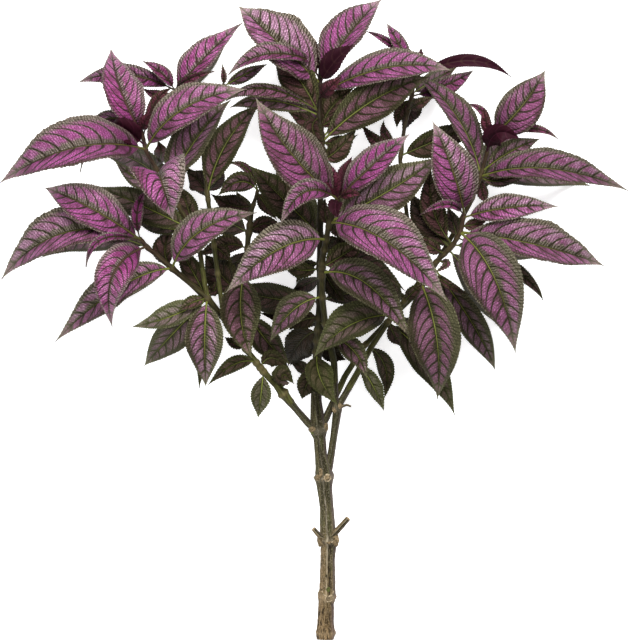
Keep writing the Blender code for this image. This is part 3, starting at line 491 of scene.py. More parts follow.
# %% [markdown]
# A blade is bent along a smooth curve from base through middle to tip, and folded along its
# midrib. Its two seen widths tell how far it is folded and rolled.

# %% One blade
class Leaf:
    """One blade: a curved midrib with a folded, waved half on each side of it."""

    def __init__(self, shoot, number, base, middle, tip, halves, peak=USUAL_PEAK, fold=USUAL_FOLD):
        self.shoot = shoot
        self.base = nearest_on_stem(own_paths(shoot), *base)
        self.tip = np.array(tip, float)
        middle = np.array(middle, float)
        self.control = 2 * middle - (self.base + self.tip) / 2
        left, right = halves
        uneven = (right - left) / (right + left)
        self.fold = max(math.radians(fold), math.atan(math.sqrt(abs(uneven))))
        self.roll = math.atan(uneven / math.tan(self.fold))
        self.half_width = right / math.cos(self.fold - self.roll)
        self.length = np.linalg.norm(middle - self.base) + np.linalg.norm(self.tip - middle)
        self.petiole = float(np.clip(PETIOLE_LENGTH / self.length, *PETIOLE_SHARES))
        self.peak = peak
        self.wave = RIPPLE_SHARE * (left + right)
        self.wave_count = RIPPLE_COUNTS[number % len(RIPPLE_COUNTS)]
        self.wave_phase = RIPPLE_SHIFT * number
        self.bend = np.zeros(2)

    def midrib(self, t):
        """Points of the midrib, and its direction there."""
        t = t[..., None]
        line = (1 - t) ** 2 * self.base + 2 * t * (1 - t) * self.control + t**2 * self.tip
        slope = 2 * (1 - t) * (self.control - self.base) + 2 * t * (self.tip - self.control)
        line[..., 2] += self.bend[0] * t[..., 0] + self.bend[1] * t[..., 0] ** 2
        slope[..., 2] += self.bend[0] + 2 * self.bend[1] * t[..., 0]
        return line, slope / np.linalg.norm(slope, axis=-1, keepdims=True)

    def width_at(self, t, floor=None):
        """Half the blade's width: round at the base, widest at its peak, drawn out to the tip."""
        s = np.clip((t - self.petiole) / (1 - self.petiole), 0, 1)
        to_base = np.clip((self.peak - s) / self.peak, 0, 1)
        to_tip = np.clip((s - self.peak) / (1 - self.peak), 0, 1)
        shape = (1 - to_base ** BASE_SHAPE[0]) ** BASE_SHAPE[1]
        shape = shape * (1 - to_tip ** TIP_SHAPE[0]) ** TIP_SHAPE[1]
        if floor is None:
            floor = np.where(t < 0.5, PETIOLE_HALF_WIDTH, TIP_HALF_WIDTH)
        return np.maximum(self.half_width * shape, floor)

    def axes(self, t):
        """Points of the midrib, with the directions to the left of the blade and out of it."""
        line, along = self.midrib(t)
        # The sheet's y runs down, so this points to the left as seen from the base.
        side = np.stack([along[..., 1], -along[..., 0], np.zeros_like(t)], axis=-1)
        side /= np.linalg.norm(side, axis=-1, keepdims=True)
        up = np.cross(side, along)
        up *= np.sign(up[..., 2:3])
        lean = self.roll * np.clip(t / ROLL_START, 0, 1)
        left = side * np.cos(lean)[..., None] + up * np.sin(lean)[..., None]
        top = up * np.cos(lean)[..., None] - side * np.sin(lean)[..., None]
        return line, left, top

    def ripple(self, t, u):
        """The slow wave of the margin."""
        wave = self.wave * u**2 * np.sin(2 * math.pi * self.wave_count * t + self.wave_phase)
        return wave * np.clip(self.width_at(t) / self.half_width, 0, 1)

    def surface(self, t, u):
        """Points of the blade's upper face; t runs to the tip, u from -1 to 1 across."""
        line, left, top = self.axes(t)
        half = self.width_at(t)
        out = u * half * math.cos(self.fold)
        lift = np.abs(u) * half * math.sin(self.fold) + self.ripple(t, u)
        points = line + left * out[..., None] + top * lift[..., None]
        points[..., 2] = np.maximum(points[..., 2], FLOOR_HEIGHT)
        return points


example = Leaf("front_shoot", 0, *LEAVES["front_shoot"][0])
print("the first blade is", round(example.length), "mm long")

# %% [markdown]
# ## Bending the leaves clear of each other
#
# In a real crown the leaves push each other aside. Here the sheet is looked at in 5 mm squares:
# where two blades share a square, the one that is higher on the whole is bent up and the other
# down, a little at a time, until all are clear.

# %% Squares that blades and stems cover
def cell_key(x, y):
    """One number for each square of the sheet."""
    column = np.round(np.divide(x, CELL)).astype(int)
    row = np.round(np.divide(y, CELL)).astype(int)
    return (column + CELL_OFFSET) * CELL_ROW + row + CELL_OFFSET


def leaf_cells(leaf):
    """The squares of the sheet that a blade covers, with its lowest, highest and mean t there."""
    along, across = LEAF_SAMPLES
    t, u = np.meshgrid(np.linspace(0, 1, along), np.linspace(-1, 1, across), indexing="ij")
    points = leaf.surface(t, u).reshape(-1, 3)
    cells, place = np.unique(cell_key(points[:, 0], points[:, 1]), return_inverse=True)
    place = place.reshape(-1)
    low = np.full(len(cells), np.inf)
    high = np.full(len(cells), -np.inf)
    np.minimum.at(low, place, points[:, 2])
    np.maximum.at(high, place, points[:, 2])
    share = np.bincount(place, weights=t.reshape(-1)) / np.bincount(place)
    return cells, low, high, share


def stem_cells(paths):
    """The same for stems, which stay where they are."""
    found = {}
    for path in paths:
        for start, end in zip(path[:-1], path[1:]):
            a, b = np.array(start, float), np.array(end, float)
            count = 2 + int(np.linalg.norm((b - a)[:3]) / STEM_SAMPLE)
            for share in np.linspace(0, 1, count):
                x, y, z, r = a + (b - a) * share
                for dx in (-r, 0, r):
                    for dy in (-r, 0, r):
                        key = int(cell_key(x + dx, y + dy))
                        low, high = found.get(key, (z - r, z + r))
                        found[key] = (min(low, z - r), max(high, z + r))
    cells = np.array(sorted(found))
    low = np.array([found[key][0] for key in cells])
    high = np.array([found[key][1] for key in cells])
    return cells, low, high, np.zeros(len(cells))


def clearances(leaves, stems):
    """Every place where two blades, or a blade and a stem, lie over one another."""
    owners, cells, lows, highs, shares = [], [], [], [], []
    entries = [leaf_cells(leaf) for leaf in leaves]
    entries += [stem_cells(paths) for paths in stems.values()]
    for owner, (cell, low, high, share) in enumerate(entries):
        owners.append(np.full(len(cell), owner))
        cells.append(cell)
        lows.append(low)
        highs.append(high)
        shares.append(share)
    owner, cell = np.concatenate(owners), np.concatenate(cells)
    low, high, share = np.concatenate(lows), np.concatenate(highs), np.concatenate(shares)
    order = np.argsort(cell, kind="stable")
    groups = np.split(order, np.flatnonzero(np.diff(cell[order])) + 1)
    pairs = [(i, j) for group in groups for n, i in enumerate(group) for j in group[n + 1 :]]
    first, second = np.array(pairs).T
    return owner, low, high, share, first, second


print("squares under the first blade:", len(leaf_cells(example)[0]))

# %% [markdown]
# Only the heights of a blade change, by a slope and a curve along it, so it keeps its place in the
# photo's view. In each round every blade is moved by the mean of what its squares ask for.

# %% Bending
def bend_clear(leaves, stems):
    """Bends each blade up or down along its length until it clears what lies over and under it."""
    count = len(leaves)
    names = [leaf.shoot for leaf in leaves] + list(stems)
    owner, low, high, share, first, second = clearances(leaves, stems)
    a, b = owner[first], owner[second]
    kin = np.array([names[i] == names[j] for i, j in zip(a, b)])
    near_root = np.minimum(share[first], share[second]) < ROOT_SHARE
    keep = (a != b) & ((a < count) | (b < count)) & ~(kin & near_root)
    first, second, a, b = first[keep], second[keep], a[keep], b[keep]
    middle = (low + high) / 2
    # Of two that meet, the one that is higher on the whole stays over the other.
    place = np.unique(a * len(names) + b, return_inverse=True)[1].reshape(-1)
    ahead = np.bincount(place, weights=middle[first] - middle[second]) > 0
    over = np.where(ahead[place], first, second)
    under = np.where(ahead[place], second, first)
    free = owner < count
    bends = np.zeros((len(names), 2))
    weight = np.stack([share, share**2], axis=1) * free[:, None]
    for _ in range(CLEAR_ROUNDS):
        move = (weight * bends[owner]).sum(axis=1)
        short = CLEAR_GAP - ((low + move)[over] - (high + move)[under])
        bad = short > 0
        give = (weight[over[bad]] ** 2).sum(1) + (weight[under[bad]] ** 2).sum(1)
        pull = short[bad] / (give + CLEAR_STIFFNESS)
        sums, counts = np.zeros_like(bends), np.full(len(names), ALMOST_NONE)
        for cells, sign in ((over[bad], 1), (under[bad], -1)):
            np.add.at(sums, owner[cells], sign * pull[:, None] * weight[cells])
            np.add.at(counts, owner[cells], 1)
        sunk = free & (low + move < FLOOR_HEIGHT - SURFACE_SLACK)
        sunk &= middle > FLOOR_HEIGHT + SURFACE_SLACK
        lift = (FLOOR_HEIGHT - low - move)[sunk] / ((weight[sunk] ** 2).sum(1) + CLEAR_STIFFNESS)
        np.add.at(sums, owner[sunk], lift[:, None] * weight[sunk])
        np.add.at(counts, owner[sunk], 1)
        bends += CLEAR_PACE * sums / counts[:, None]
    for leaf, bend in zip(leaves, bends):
        leaf.bend = bend


print("rounds of bending:", CLEAR_ROUNDS)

# %% [markdown]
# With that, every row of the table becomes a blade. The plan stays in millimetres on its sheet, and
# a place is turned into the model's metres only when a mesh is shaped.

# %% All leaves
def all_leaves():
    """Every blade of the plant, bent clear of the others."""
    leaves = []
    for shoot, rows in LEAVES.items():
        leaves += [Leaf(shoot, len(leaves) + n, *row) for n, row in enumerate(rows)]
    stems = {"main_stem": [*stubs_on("main_stem"), *TRUNK_STUBS]}
    stems |= {shoot: own_paths(shoot) + stubs_on(shoot) for shoot in LEAVES}
    bend_clear(leaves, stems)
    return leaves


def to_model(points):
    """From the drawing sheet, in millimetres, to the model, in metres."""
    points = np.asarray(points, float)
    x = points[..., 0] - SHEET_ORIGIN[0]
    y = SHEET_ORIGIN[1] - points[..., 1]
    return np.stack([x, y, points[..., 2]], axis=-1) * MM


leaves = all_leaves()
print("leaves:", len(leaves))

# %% [markdown]
# Deep in the crown stand small leaves that the solids leave out. They are drawn like the others:
# each row is where its stalk starts, the middle and the end of its midrib, how far it reaches to
# the left and the right of it, and its age and painted shade.

# %% Small leaves deep in the crown
SMALL_LEAVES = {
    "front_shoot": [
        ((320, 276), (307, 284, 84), (292, 290, 70), (8, 7), (0.6, 0.7)),
        ((325, 324), (292, 319, 52), (259, 313, 40), (9, 9), (0.6, 0.75)),
    ],
    "top_shoot": [
        ((320, 141), (338, 143, 108), (358, 135, 102), (7, 7), (0.5, 0.6)),
        ((320, 126), (329, 122, 112), (339, 112, 108), (6, 5), (0.5, 0.6)),
        ((319, 128), (305, 120, 100), (288, 112, 94), (8, 8), (0.5, 0.65)),
        ((320, 99), (329, 89, 150), (342, 77, 152), (8, 7), (0.03, 0.55)),
        ((317, 380), (303, 368, 50), (288, 359, 38), (6, 6), (0.7, 0.65)),
    ],
    "right_back_shoot": [((407, 110), (419, 104, 100), (434, 97, 94), (6, 6), (0.5, 0.7))],
    "right_upper_shoot": [((487, 140), (486, 124, 128), (483, 108, 126), (6, 5), (0.08, 0.6))],
    "right_lower_shoot": [((396, 312), (393, 291, 66), (385, 268, 62), (8, 8), (0.6, 0.65))],
    "left_upper_shoot": [
        ((158, 168), (161, 154, 70), (157, 140, 64), (7, 7), (0.4, 0.6)),
        ((144, 138), (156, 103, 118), (172, 89, 116), (6, 6), (0.15, 0.6)),
    ],
    "left_back_shoot": [
        ((222, 300), (214, 291, 106), (205, 282, 102), (5, 5), (0.6, 0.7)),
        ((207, 200), (197, 182, 60), (186, 166, 52), (7, 7), (0.6, 0.7)),
    ],
    "left_inner_shoot": [((250, 225), (244, 208, 70), (236, 191, 60), (8, 8), (0.6, 0.7))],
}
for shoot, rows in SMALL_LEAVES.items():
    for base, middle, tip, halves, look in rows:
        leaves.append(Leaf(shoot, len(AGES[shoot]), base, middle, tip, halves))
        AGES[shoot].append(look)
print("leaves in all:", len(leaves))

# %% [markdown]
# ## Drawing a fine blade
#
# A real blade is quilted: side veins sink in and arch forward to the margin, the panels between
# them swell, and the margin is finely toothed. Each half also bulges between midrib and margin.
# The fine blade takes the same midrib, fold and outline as the solid one and adds this relief as
# a height over the surface, worked out from how far along and how far off the midrib a point is.

# %% The relief of a blade
ROW_STEP = 1.35
COLUMN_STEP = 1.5
BLADE_ROWS = (12, 100)
HALF_COLUMNS = (3, 14)
VEIN_SPACING = 14.5
VEIN_PAIRS = (3, 10)
VEIN_SLANT = 0.65
VEIN_ARCH = 2.6
VEIN_REACH = 1.2
FIRST_VEIN = 0.35
# The panels swell off the veins, off the midrib and off the margin; the last two in millimetres.
QUILT_DEPTH = 0.04
QUILT_OFF_VEIN = 0.3
QUILT_OFF_RIB = (0.6, 3.0)
QUILT_OFF_EDGE = (0.5, 6.0)
GROOVE_DEPTH = 0.5
GROOVE_WIDTH = 1.4
HALF_BULGE = 0.34
MARGIN_WAVE = 0.03
FINE_WIDTH = 1.035
# Teeth stand on the outermost part of each half and fade where the blade starts and ends.
TOOTH_SIZE = 0.5
NOTCH_SHARE = 0.9
TOOTH_START = 0.8
TOOTHLESS_END = 0.1
FINE_STALK_SHARE = 0.02
FINE_STALK_HALF = 0.8
FINE_TIP_HALF = 0.3
# How strongly a half's lean up the sheet and to the right sets its painted sheen and painted shade.
SHEEN_GAIN = 0.75
SHEEN_SIDEWAYS = 0.4


def smooth_step(value, low, high):
    """0 below low, 1 above high, and an even rise between."""
    share = np.clip((value - low) / (high - low), 0, 1)
    return share * share * (3 - 2 * share)


def sheen_half(leaf, t, u):
    """1 on the half of a blade that lies up the sheet or to the right, turned to the light, 0 on
    the other half; the paint gives the first a painted sheen and the second painted shade.
    """
    _, left, _ = leaf.axes(t)
    out = left * np.sign(u)[..., None]
    return np.clip(0.5 + SHEEN_GAIN * (SHEEN_SIDEWAYS * out[..., 0] - out[..., 1]), 0, 1)


def blade_size(leaf):
    """How many rows and columns of faces a blade gets, by its length and width."""
    rows = int(np.clip(round(leaf.length / ROW_STEP), *BLADE_ROWS))
    return rows, 2 * int(np.clip(round(leaf.half_width / COLUMN_STEP), *HALF_COLUMNS))


def vein_phase(leaf, t, off_rib):
    """A number that is whole on each side vein and runs up from one vein to the next."""
    s = (t - leaf.petiole) / (1 - leaf.petiole)
    reach = np.clip(off_rib / leaf.half_width, 0, VEIN_REACH)
    slant = VEIN_SLANT * leaf.half_width / leaf.length
    pairs = int(np.clip(round(leaf.length / VEIN_SPACING), *VEIN_PAIRS))
    return pairs * (s - slant * (reach + VEIN_ARCH * reach**3)) + FIRST_VEIN


def fine_blade(leaf, t, u, rows):
    """Points of the fine upper face on the sheet, with vein number and distance to rib and edge."""
    line, left, top = leaf.axes(t)
    floor = np.where(t < leaf.petiole + FINE_STALK_SHARE, FINE_STALK_HALF, FINE_TIP_HALF)
    half = np.maximum(leaf.width_at(t, floor=0) * FINE_WIDTH, floor)
    inside = smooth_step(t, leaf.petiole, leaf.petiole + TOOTHLESS_END)
    inside *= 1 - smooth_step(t, 1 - TOOTHLESS_END, 1)
    tooth = TOOTH_SIZE * np.where(np.round(t * rows) % 2 == 0, 1, -NOTCH_SHARE)
    tooth = tooth * inside * smooth_step(np.abs(u), TOOTH_START, 1)
    off_rib, off_edge = np.abs(u) * half, (1 - np.abs(u)) * half
    phase = vein_phase(leaf, t, off_rib)
    share = half / leaf.half_width
    from_vein = np.abs(phase - np.round(phase)) * 2
    quilt = QUILT_DEPTH * leaf.half_width * (1 - np.exp(-((from_vein / QUILT_OFF_VEIN) ** 2)))
    quilt *= smooth_step(off_rib, *QUILT_OFF_RIB) * smooth_step(off_edge, *QUILT_OFF_EDGE) * share
    groove = -GROOVE_DEPTH * np.exp(-((off_rib / GROOVE_WIDTH) ** 2)) * share
    bulge = HALF_BULGE * half * math.sin(leaf.fold) * np.abs(u) * (1 - np.abs(u)) * 2
    edge_wave = MARGIN_WAVE * half * np.cos(2 * math.pi * phase) * np.abs(u) ** 3
    ripple = leaf.ripple(t, u)
    out = u * half * math.cos(leaf.fold) + np.sign(u) * tooth
    lift = np.abs(u) * half * math.sin(leaf.fold) + ripple + quilt + groove + bulge + edge_wave
    points = line + left * out[..., None] + top * lift[..., None]
    points[..., 2] = np.maximum(points[..., 2], FLOOR_HEIGHT)
    return points, phase, off_rib, off_edge


print("rows and columns of the first blade:", blade_size(leaves[0]))

# %% [markdown]
# ## Sheets and tubes to shape
#
# Every blade starts as a flat double sheet, two grids whose rims are merged, so it is closed and
# thins out to a sharp margin as a leaf does. Every stem and leaf stalk starts as a rolled grid.
# They are made at unit size with bmesh operators, side by side in one mesh, and only then moved
# to their places all at once, which is quick for more than a hundred leaves.

# %% Flat double sheets and rolled grids
# Unit forms are made side by side: each next one starts this much further along x.
SHEET_STRIDE = 4
TUBE_STRIDE = 600
RIM = 0.9999
MERGE_DISTANCE = 1e-4


def unit_blades(leaves, hoods):
    """A closed double sheet for each blade: material 0 above and 1 below, the reverse on a hood."""
    bm = bmesh.new()
    for number, leaf in enumerate(leaves):
        rows, columns = blade_size(leaf)
        for side in (1, -1):
            made = bmesh.ops.create_grid(bm, x_segments=rows, y_segments=columns, size=1)["verts"]
            faces = list({face for vert in made for face in vert.link_faces})
            for face in faces:
                face.material_index = int((side < 0) != (number in hoods))
            for vert in made:
                on_rim = max(abs(vert.co.x), abs(vert.co.y)) > RIM
                vert.co.z = 0 if on_rim else side
                vert.co.x += SHEET_STRIDE * number
            if side < 0:
                bmesh.ops.reverse_faces(bm, faces=faces)
    bmesh.ops.remove_doubles(bm, verts=bm.verts, dist=MERGE_DISTANCE)
    for edge in bm.edges:
        edge.smooth = len({face.material_index for face in edge.link_faces}) == 1
    return bm


def unit_tubes(sizes):
    """A closed round tube for each (rings, sides): x is the ring, y and z its cosine and sine."""
    bm = bmesh.new()
    for number, (rings, sides) in enumerate(sizes):
        made = bmesh.ops.create_grid(bm, x_segments=rings, y_segments=sides, size=1)["verts"]
        for vert in made:
            ring = round((vert.co.x + 1) / 2 * rings)
            angle = math.pi * (vert.co.y + 1)
            vert.co = (TUBE_STRIDE * number + ring, math.cos(angle), math.sin(angle))
    bmesh.ops.remove_doubles(bm, verts=bm.verts, dist=MERGE_DISTANCE)
    caps = bmesh.ops.holes_fill(bm, edges=[edge for edge in bm.edges if edge.is_boundary])["faces"]
    bmesh.ops.recalc_face_normals(bm, faces=bm.faces)
    for cap in caps:
        for edge in cap.edges:
            edge.smooth = False
    return bm


def mesh_from(name, bm):
    mesh = bpy.data.meshes.new(name)
    bm.to_mesh(mesh)
    bm.free()
    return mesh


def linked(name, data):
    """A new object of the scene, at the origin and unturned."""
    obj = bpy.data.objects.new(name, data)
    bpy.context.scene.collection.objects.link(obj)
    return obj


def placed(name, bm, shape):
    """Turns a unit mesh into an object: shape gives each vertex its place and its paint numbers."""
    mesh = mesh_from(name, bm)
    unit = np.empty(len(mesh.vertices) * 3, np.float32)
    mesh.vertices.foreach_get("co", unit)
    points, numbers = shape(unit.reshape(-1, 3).astype(float))
    mesh.vertices.foreach_set("co", (points * MM).astype(np.float32).ravel())
    for key, values in numbers.items():
        layer = mesh.attributes.new(key, "FLOAT", "POINT")
        layer.data.foreach_set("value", np.asarray(values, np.float32))
    mesh.shade_smooth()
    mesh.update()
    return linked(name, mesh)


test = unit_tubes([(4, 8)])
print("faces of a tube with 4 steps and 8 sides:", len(test.faces))
test.free()

# %% [markdown]
# ## Placing the blades
#
# The lower face lies under the upper one along its normal, thickest near the midrib and thinned to
# nothing at the margin. The paint later needs to know where it is on the leaf, so each vertex keeps
# its vein number, its distance from midrib and margin, its way along as a share and in millimetres,
# the leaf's age, its painted shade and a chance number of its own, and whether its half is the one
# that catches the light, which the paint gives a painted sheen.

# %% Blades of one shoot
# The sky number is 1 on the half of a blade turned to the light, which the paint gives a painted
# sheen.
BLADE_NUMBERS = ("phase", "rib", "edge", "along", "way", "age", "shade", "chance", "sky")
SMALL_MOVE = 1e-3
NEVER_ZERO = 1e-12
THINNING = 4
CHANCE_STEP = 0.618
CHANCE_SHIFT = 0.37


def to_model_mm(points):
    """From the drawing sheet to the model's axes, still in millimetres."""
    return to_model(points) / MM


def shape_blades(leaves, looks):
    """The function that places all the blades of one shoot."""

    def shape(unit):
        number = np.round(unit[:, 0] / SHEET_STRIDE).astype(int)
        t_all = np.clip((unit[:, 0] - SHEET_STRIDE * number + 1) / 2, 0, 1)
        points = np.zeros((len(unit), 3))
        numbers = {key: np.zeros(len(unit)) for key in BLADE_NUMBERS}
        for n, leaf in enumerate(leaves):
            here = number == n
            t, u, side = t_all[here], unit[here, 1], unit[here, 2]
            rows = blade_size(leaf)[0]
            place, phase, rib, edge = fine_blade(leaf, t, u, rows)
            place = to_model_mm(place)
            ahead = np.where(t > 0.5, -SMALL_MOVE, SMALL_MOVE)
            across = np.where(u > 0, -SMALL_MOVE, SMALL_MOVE)
            on = to_model_mm(fine_blade(leaf, t + ahead, u, rows)[0]) - place
            over = to_model_mm(fine_blade(leaf, t, u + across, rows)[0]) - place
            normal = np.cross(on * np.sign(ahead)[:, None], over * np.sign(across)[:, None])
            normal /= np.linalg.norm(normal, axis=1, keepdims=True) + NEVER_ZERO
            depth = np.where(side < 0, BLADE_THICKNESS * (1 - u**THINNING), 0)
            place = place - normal * depth[:, None]
            place[:, 2] = np.maximum(place[:, 2], 0)
            points[here] = place
            age, shade = looks[n]
            chance = (CHANCE_STEP * (n + 1) + CHANCE_SHIFT * len(leaves)) % 1
            sky = sheen_half(leaf, t, u)
            found = (phase, rib, edge, t, t * leaf.length, age, shade, chance, sky)
            for key, values in zip(BLADE_NUMBERS, found):
                numbers[key][here] = values
        return points, numbers

    return shape


print("numbers that each vertex of a blade keeps:", BLADE_NUMBERS)

# %% [markdown]
# ## Stems that swell at their joints
#
# A stem's path is a list of points with a radius at each. Drawn straight from point to point it
# would kink, so it is sampled finely and then evened out. Persian shield has slightly four-angled
# stems that swell where a pair of leaves sits.

# %% Even paths and round sections
TUBE_NUMBERS = ("cosine", "sine", "along", "age", "shade", "knot")
PATH_STEP = 1.2
PATH_EVENING = 5
FEWEST_RINGS = 3


def even_path(path, step=PATH_STEP):
    """Centre line, radius and way along of a finely sampled, evened path, in model millimetres."""
    points = np.array(path, float)
    points[:, :3] = to_model_mm(points[:, :3])
    lengths = np.linalg.norm(np.diff(points[:, :3], axis=0), axis=1)
    way = np.concatenate([[0], np.cumsum(lengths)])
    along = np.linspace(0, way[-1], max(FEWEST_RINGS, int(round(way[-1] / step)) + 1))
    table = np.stack([np.interp(along, way, points[:, k]) for k in range(4)], axis=1)
    pad = min(PATH_EVENING, len(along) - 1)
    first = 2 * table[0] - table[1 : pad + 1][::-1]
    last = 2 * table[-1] - table[-pad - 1 : -1][::-1]
    long = np.concatenate([first, table, last])
    for _ in range(pad):
        long[1:-1] = (long[:-2] + 2 * long[1:-1] + long[2:]) / 4
    table = long[pad : pad + len(along)]
    table[:, 3] = np.interp(along, way, points[:, 3])
    return table[:, :3], table[:, 3], along


def ring_axes(centres):
    """Unit directions along, to the side of and above a path at each of its rings."""
    ahead = np.gradient(centres, axis=0)
    ahead /= np.linalg.norm(ahead, axis=1, keepdims=True)
    side = np.cross([0, 0, 1], ahead)
    side /= np.linalg.norm(side, axis=1, keepdims=True)
    return ahead, side, np.cross(ahead, side)


def shape_tubes(tubes, relief=None):
    """The function that places all the tubes of one piece; a tube is a dict of arrays by ring."""

    def shape(unit):
        number = np.floor((unit[:, 0] + 0.5) / TUBE_STRIDE).astype(int)
        points = np.zeros((len(unit), 3))
        numbers = {key: np.zeros(len(unit)) for key in TUBE_NUMBERS}
        for n, tube in enumerate(tubes):
            here = number == n
            ring = np.round(unit[here, 0] - TUBE_STRIDE * n).astype(int)
            cosine, sine = unit[here, 1], unit[here, 2]
            _, side, up = ring_axes(tube["centres"])
            radius = tube["radii"][ring]
            if relief:
                radius = radius + relief(tube, ring, cosine, sine)
            place = tube["centres"][ring] + side[ring] * (cosine * radius)[:, None]
            place = place + up[ring] * (sine * radius)[:, None]
            place[:, 2] = np.maximum(place[:, 2], 0)
            points[here] = place
            along, age, knot = (tube[key][ring] for key in ("along", "age", "knot"))
            found = (cosine, sine, along, age, tube["shade"], knot)
            for key, values in zip(TUBE_NUMBERS, found):
                numbers[key][here] = values
        return points, numbers

    return shape


print("numbers that each vertex of a tube keeps:", TUBE_NUMBERS)

# %% [markdown]
# ## Leaf stalks and midribs
#
# The stalk of a leaf runs on as the midrib, which stands out under the blade and gets thinner
# towards the tip. One tapering tube per leaf does both: it starts inside the stem, carries the
# blade, and sinks into its lower face.

# %% Stalks
STALK_RINGS = 26
STALK_SIDES = 8
STALK_END = 0.8
# A stalk's radius grows with its blade, between two limits, and tapers by a power of the way.
STALK_RADII = (0.45, 1.45)
STALK_SLIMNESS = 0.05
STALK_LEAST = 0.35
STALK_TAPER = (0.9, 0.8)
STALK_SINK = 0.35
STALK_SINK_LENGTH = 0.1


def stalk_tube(leaf, look):
    """The tapering tube under one blade."""
    t = np.linspace(0, STALK_END, STALK_RINGS + 1)
    line, _, top = leaf.axes(t)
    thick = float(np.clip(STALK_SLIMNESS * leaf.half_width + STALK_LEAST, *STALK_RADII))
    radii = thick * (1 - STALK_TAPER[0] * (t / STALK_END) ** STALK_TAPER[1])
    sink = STALK_SINK * (radii + smooth_step(t, leaf.petiole, leaf.petiole + STALK_SINK_LENGTH))
    centres = line - top * sink[:, None]
    centres[:, 2] = np.maximum(centres[:, 2], radii)
    age, shade = look
    return {
        "centres": to_model_mm(centres), "radii": radii, "along": t * leaf.length,
        "age": np.full(len(t), age), "shade": shade, "knot": t,
    }


print("a stalk has", STALK_RINGS, "steps and", STALK_SIDES, "sides")

# %% [markdown]
# ## Young stems
#
# The stems of a shoot are drawn like the solids' own, with a small swelling at each leaf and a
# faint four-sided section. Each starts a little inside the limb that carries it, so no seam shows.

# %% Stems of one shoot
STEM_SIDES = 16
BASE_OVERLAP = 3.0
SWELL_SHARE = 0.3
SWELL_WIDTH = 2.6
FOUR_SIDED = 0.06


def knots_near(centres, places, width):
    """How near each ring is to one of the places: 1 at it, 0 away from it."""
    near = np.zeros(len(centres))
    for place in places:
        away = np.linalg.norm(centres - place, axis=1)
        near = np.maximum(near, np.exp(-((away / width) ** 2)))
    return near


def stem_tube(path, places, ages, shade):
    """One stem as a tube: its age runs from the first of ages to the second along it."""
    start, after = np.array(path[0], float), np.array(path[1], float)
    back = (start - after) / np.linalg.norm((after - start)[:3]) * BASE_OVERLAP
    back[3] = 0
    centres, radii, along = even_path([tuple(start + back), *path])
    knot = knots_near(centres, places, SWELL_WIDTH)
    return {
        "centres": centres, "radii": radii * (1 + SWELL_SHARE * knot), "along": along,
        "age": np.linspace(*ages, len(along)), "shade": shade, "knot": knot,
    }


def four_sided(tube, ring, cosine, sine):
    """A faintly square section: cos 4a written with the cosine and sine of a."""
    return FOUR_SIDED * tube["radii"][ring] * (1 - 8 * cosine**2 * sine**2)


print("a young stem has", STEM_SIDES, "sides")

# %% [markdown]
# ## The woody stem
#
# The foot of the plant is old wood: dry tan bark with lengthwise furrows at the cut end, greener
# and smoother bark above. Each joint is a thick, lumpy collar. The trunk has enough rings and sides
# for the furrows and the lumps to be real relief.

# %% Bark relief
TRUNK_SIDES = 60
LIMB_SIDES = 30
BARK_STEP = 1.0
# Depths in millimetres on wood of the full radius, and what the youngest wood keeps of them.
FULL_RADIUS = 8
FURROW_DEPTH = 0.55
FURROW_LEFT = 0.35
ROUGH_DEPTH = 0.28
ROUGH_LEFT = 0.4
COLLAR_ROUGH = 0.6
LUMP_SHARE = 0.16
# Each noise: how fine it is round the bark, its length along it, and where it starts.
FURROWS = (2.6, 16, 0)
ROUGHNESS = (4, 3.5, 40)
LUMPS = (1.4, 12, 80)


def bark_noise(kind, cosine, sine, along):
    around, length, start = kind
    return noise.noise(Vector((cosine * around, sine * around, along / length + start)))


def bark_relief(tube, ring, cosine, sine):
    """Furrows along the wood, fading upwards, and rough collars at the joints."""
    along = tube["along"][ring]
    old = 1 - tube["age"][ring]
    size = tube["radii"][ring] / FULL_RADIUS
    found = np.empty(len(ring))
    for k in range(len(ring)):
        place, knot = (cosine[k], sine[k], along[k]), tube["knot"][ring[k]]
        furrow = -abs(bark_noise(FURROWS, *place)) * FURROW_DEPTH
        depth = ROUGH_DEPTH * (ROUGH_LEFT + old[k]) + COLLAR_ROUGH * knot
        rough = bark_noise(ROUGHNESS, *place) * depth
        lump = bark_noise(LUMPS, *place) * LUMP_SHARE * tube["radii"][ring[k]] * knot
        found[k] = (furrow * (FURROW_LEFT + old[k]) + rough) * size[k] + lump
    return found


print("the trunk has", TRUNK_SIDES, "sides and a limb has", LIMB_SIDES)

# %% [markdown]
# The trunk is the longest of the stubs on the main stem; the others fork from it. The joints are
# where the plan makes the trunk thickest. Two of the three twigs were pruned, and they are drawn
# thicker than in the solids, as they are on the real plant.

# %% Trunk, limbs and pruned twigs
TWIG_WIDTH = 1.28
JOINT_WIDTH = 3.5
TRUNK_AGES = (0, 0.95)
LIMB_AGES = (0.6, 1.0)
TWIG_AGES = (0.35, 0.35)
JOINT_SWELLS = [
    (327, 597, 21), (328.5, 539, 38), (324.2, 477, 58), (318.4, 429, 73), (337, 407, 81),
    (325.6, 633, 9.9),
]


def bark_tube(path, ages, places):
    """The trunk, a limb or a twig as a tube that swells at some places."""
    centres, radii, along = even_path(path, BARK_STEP)
    return {
        "centres": centres, "radii": radii, "along": along, "age": np.linspace(*ages, len(along)),
        "shade": 0, "knot": knots_near(centres, places, JOINT_WIDTH),
    }


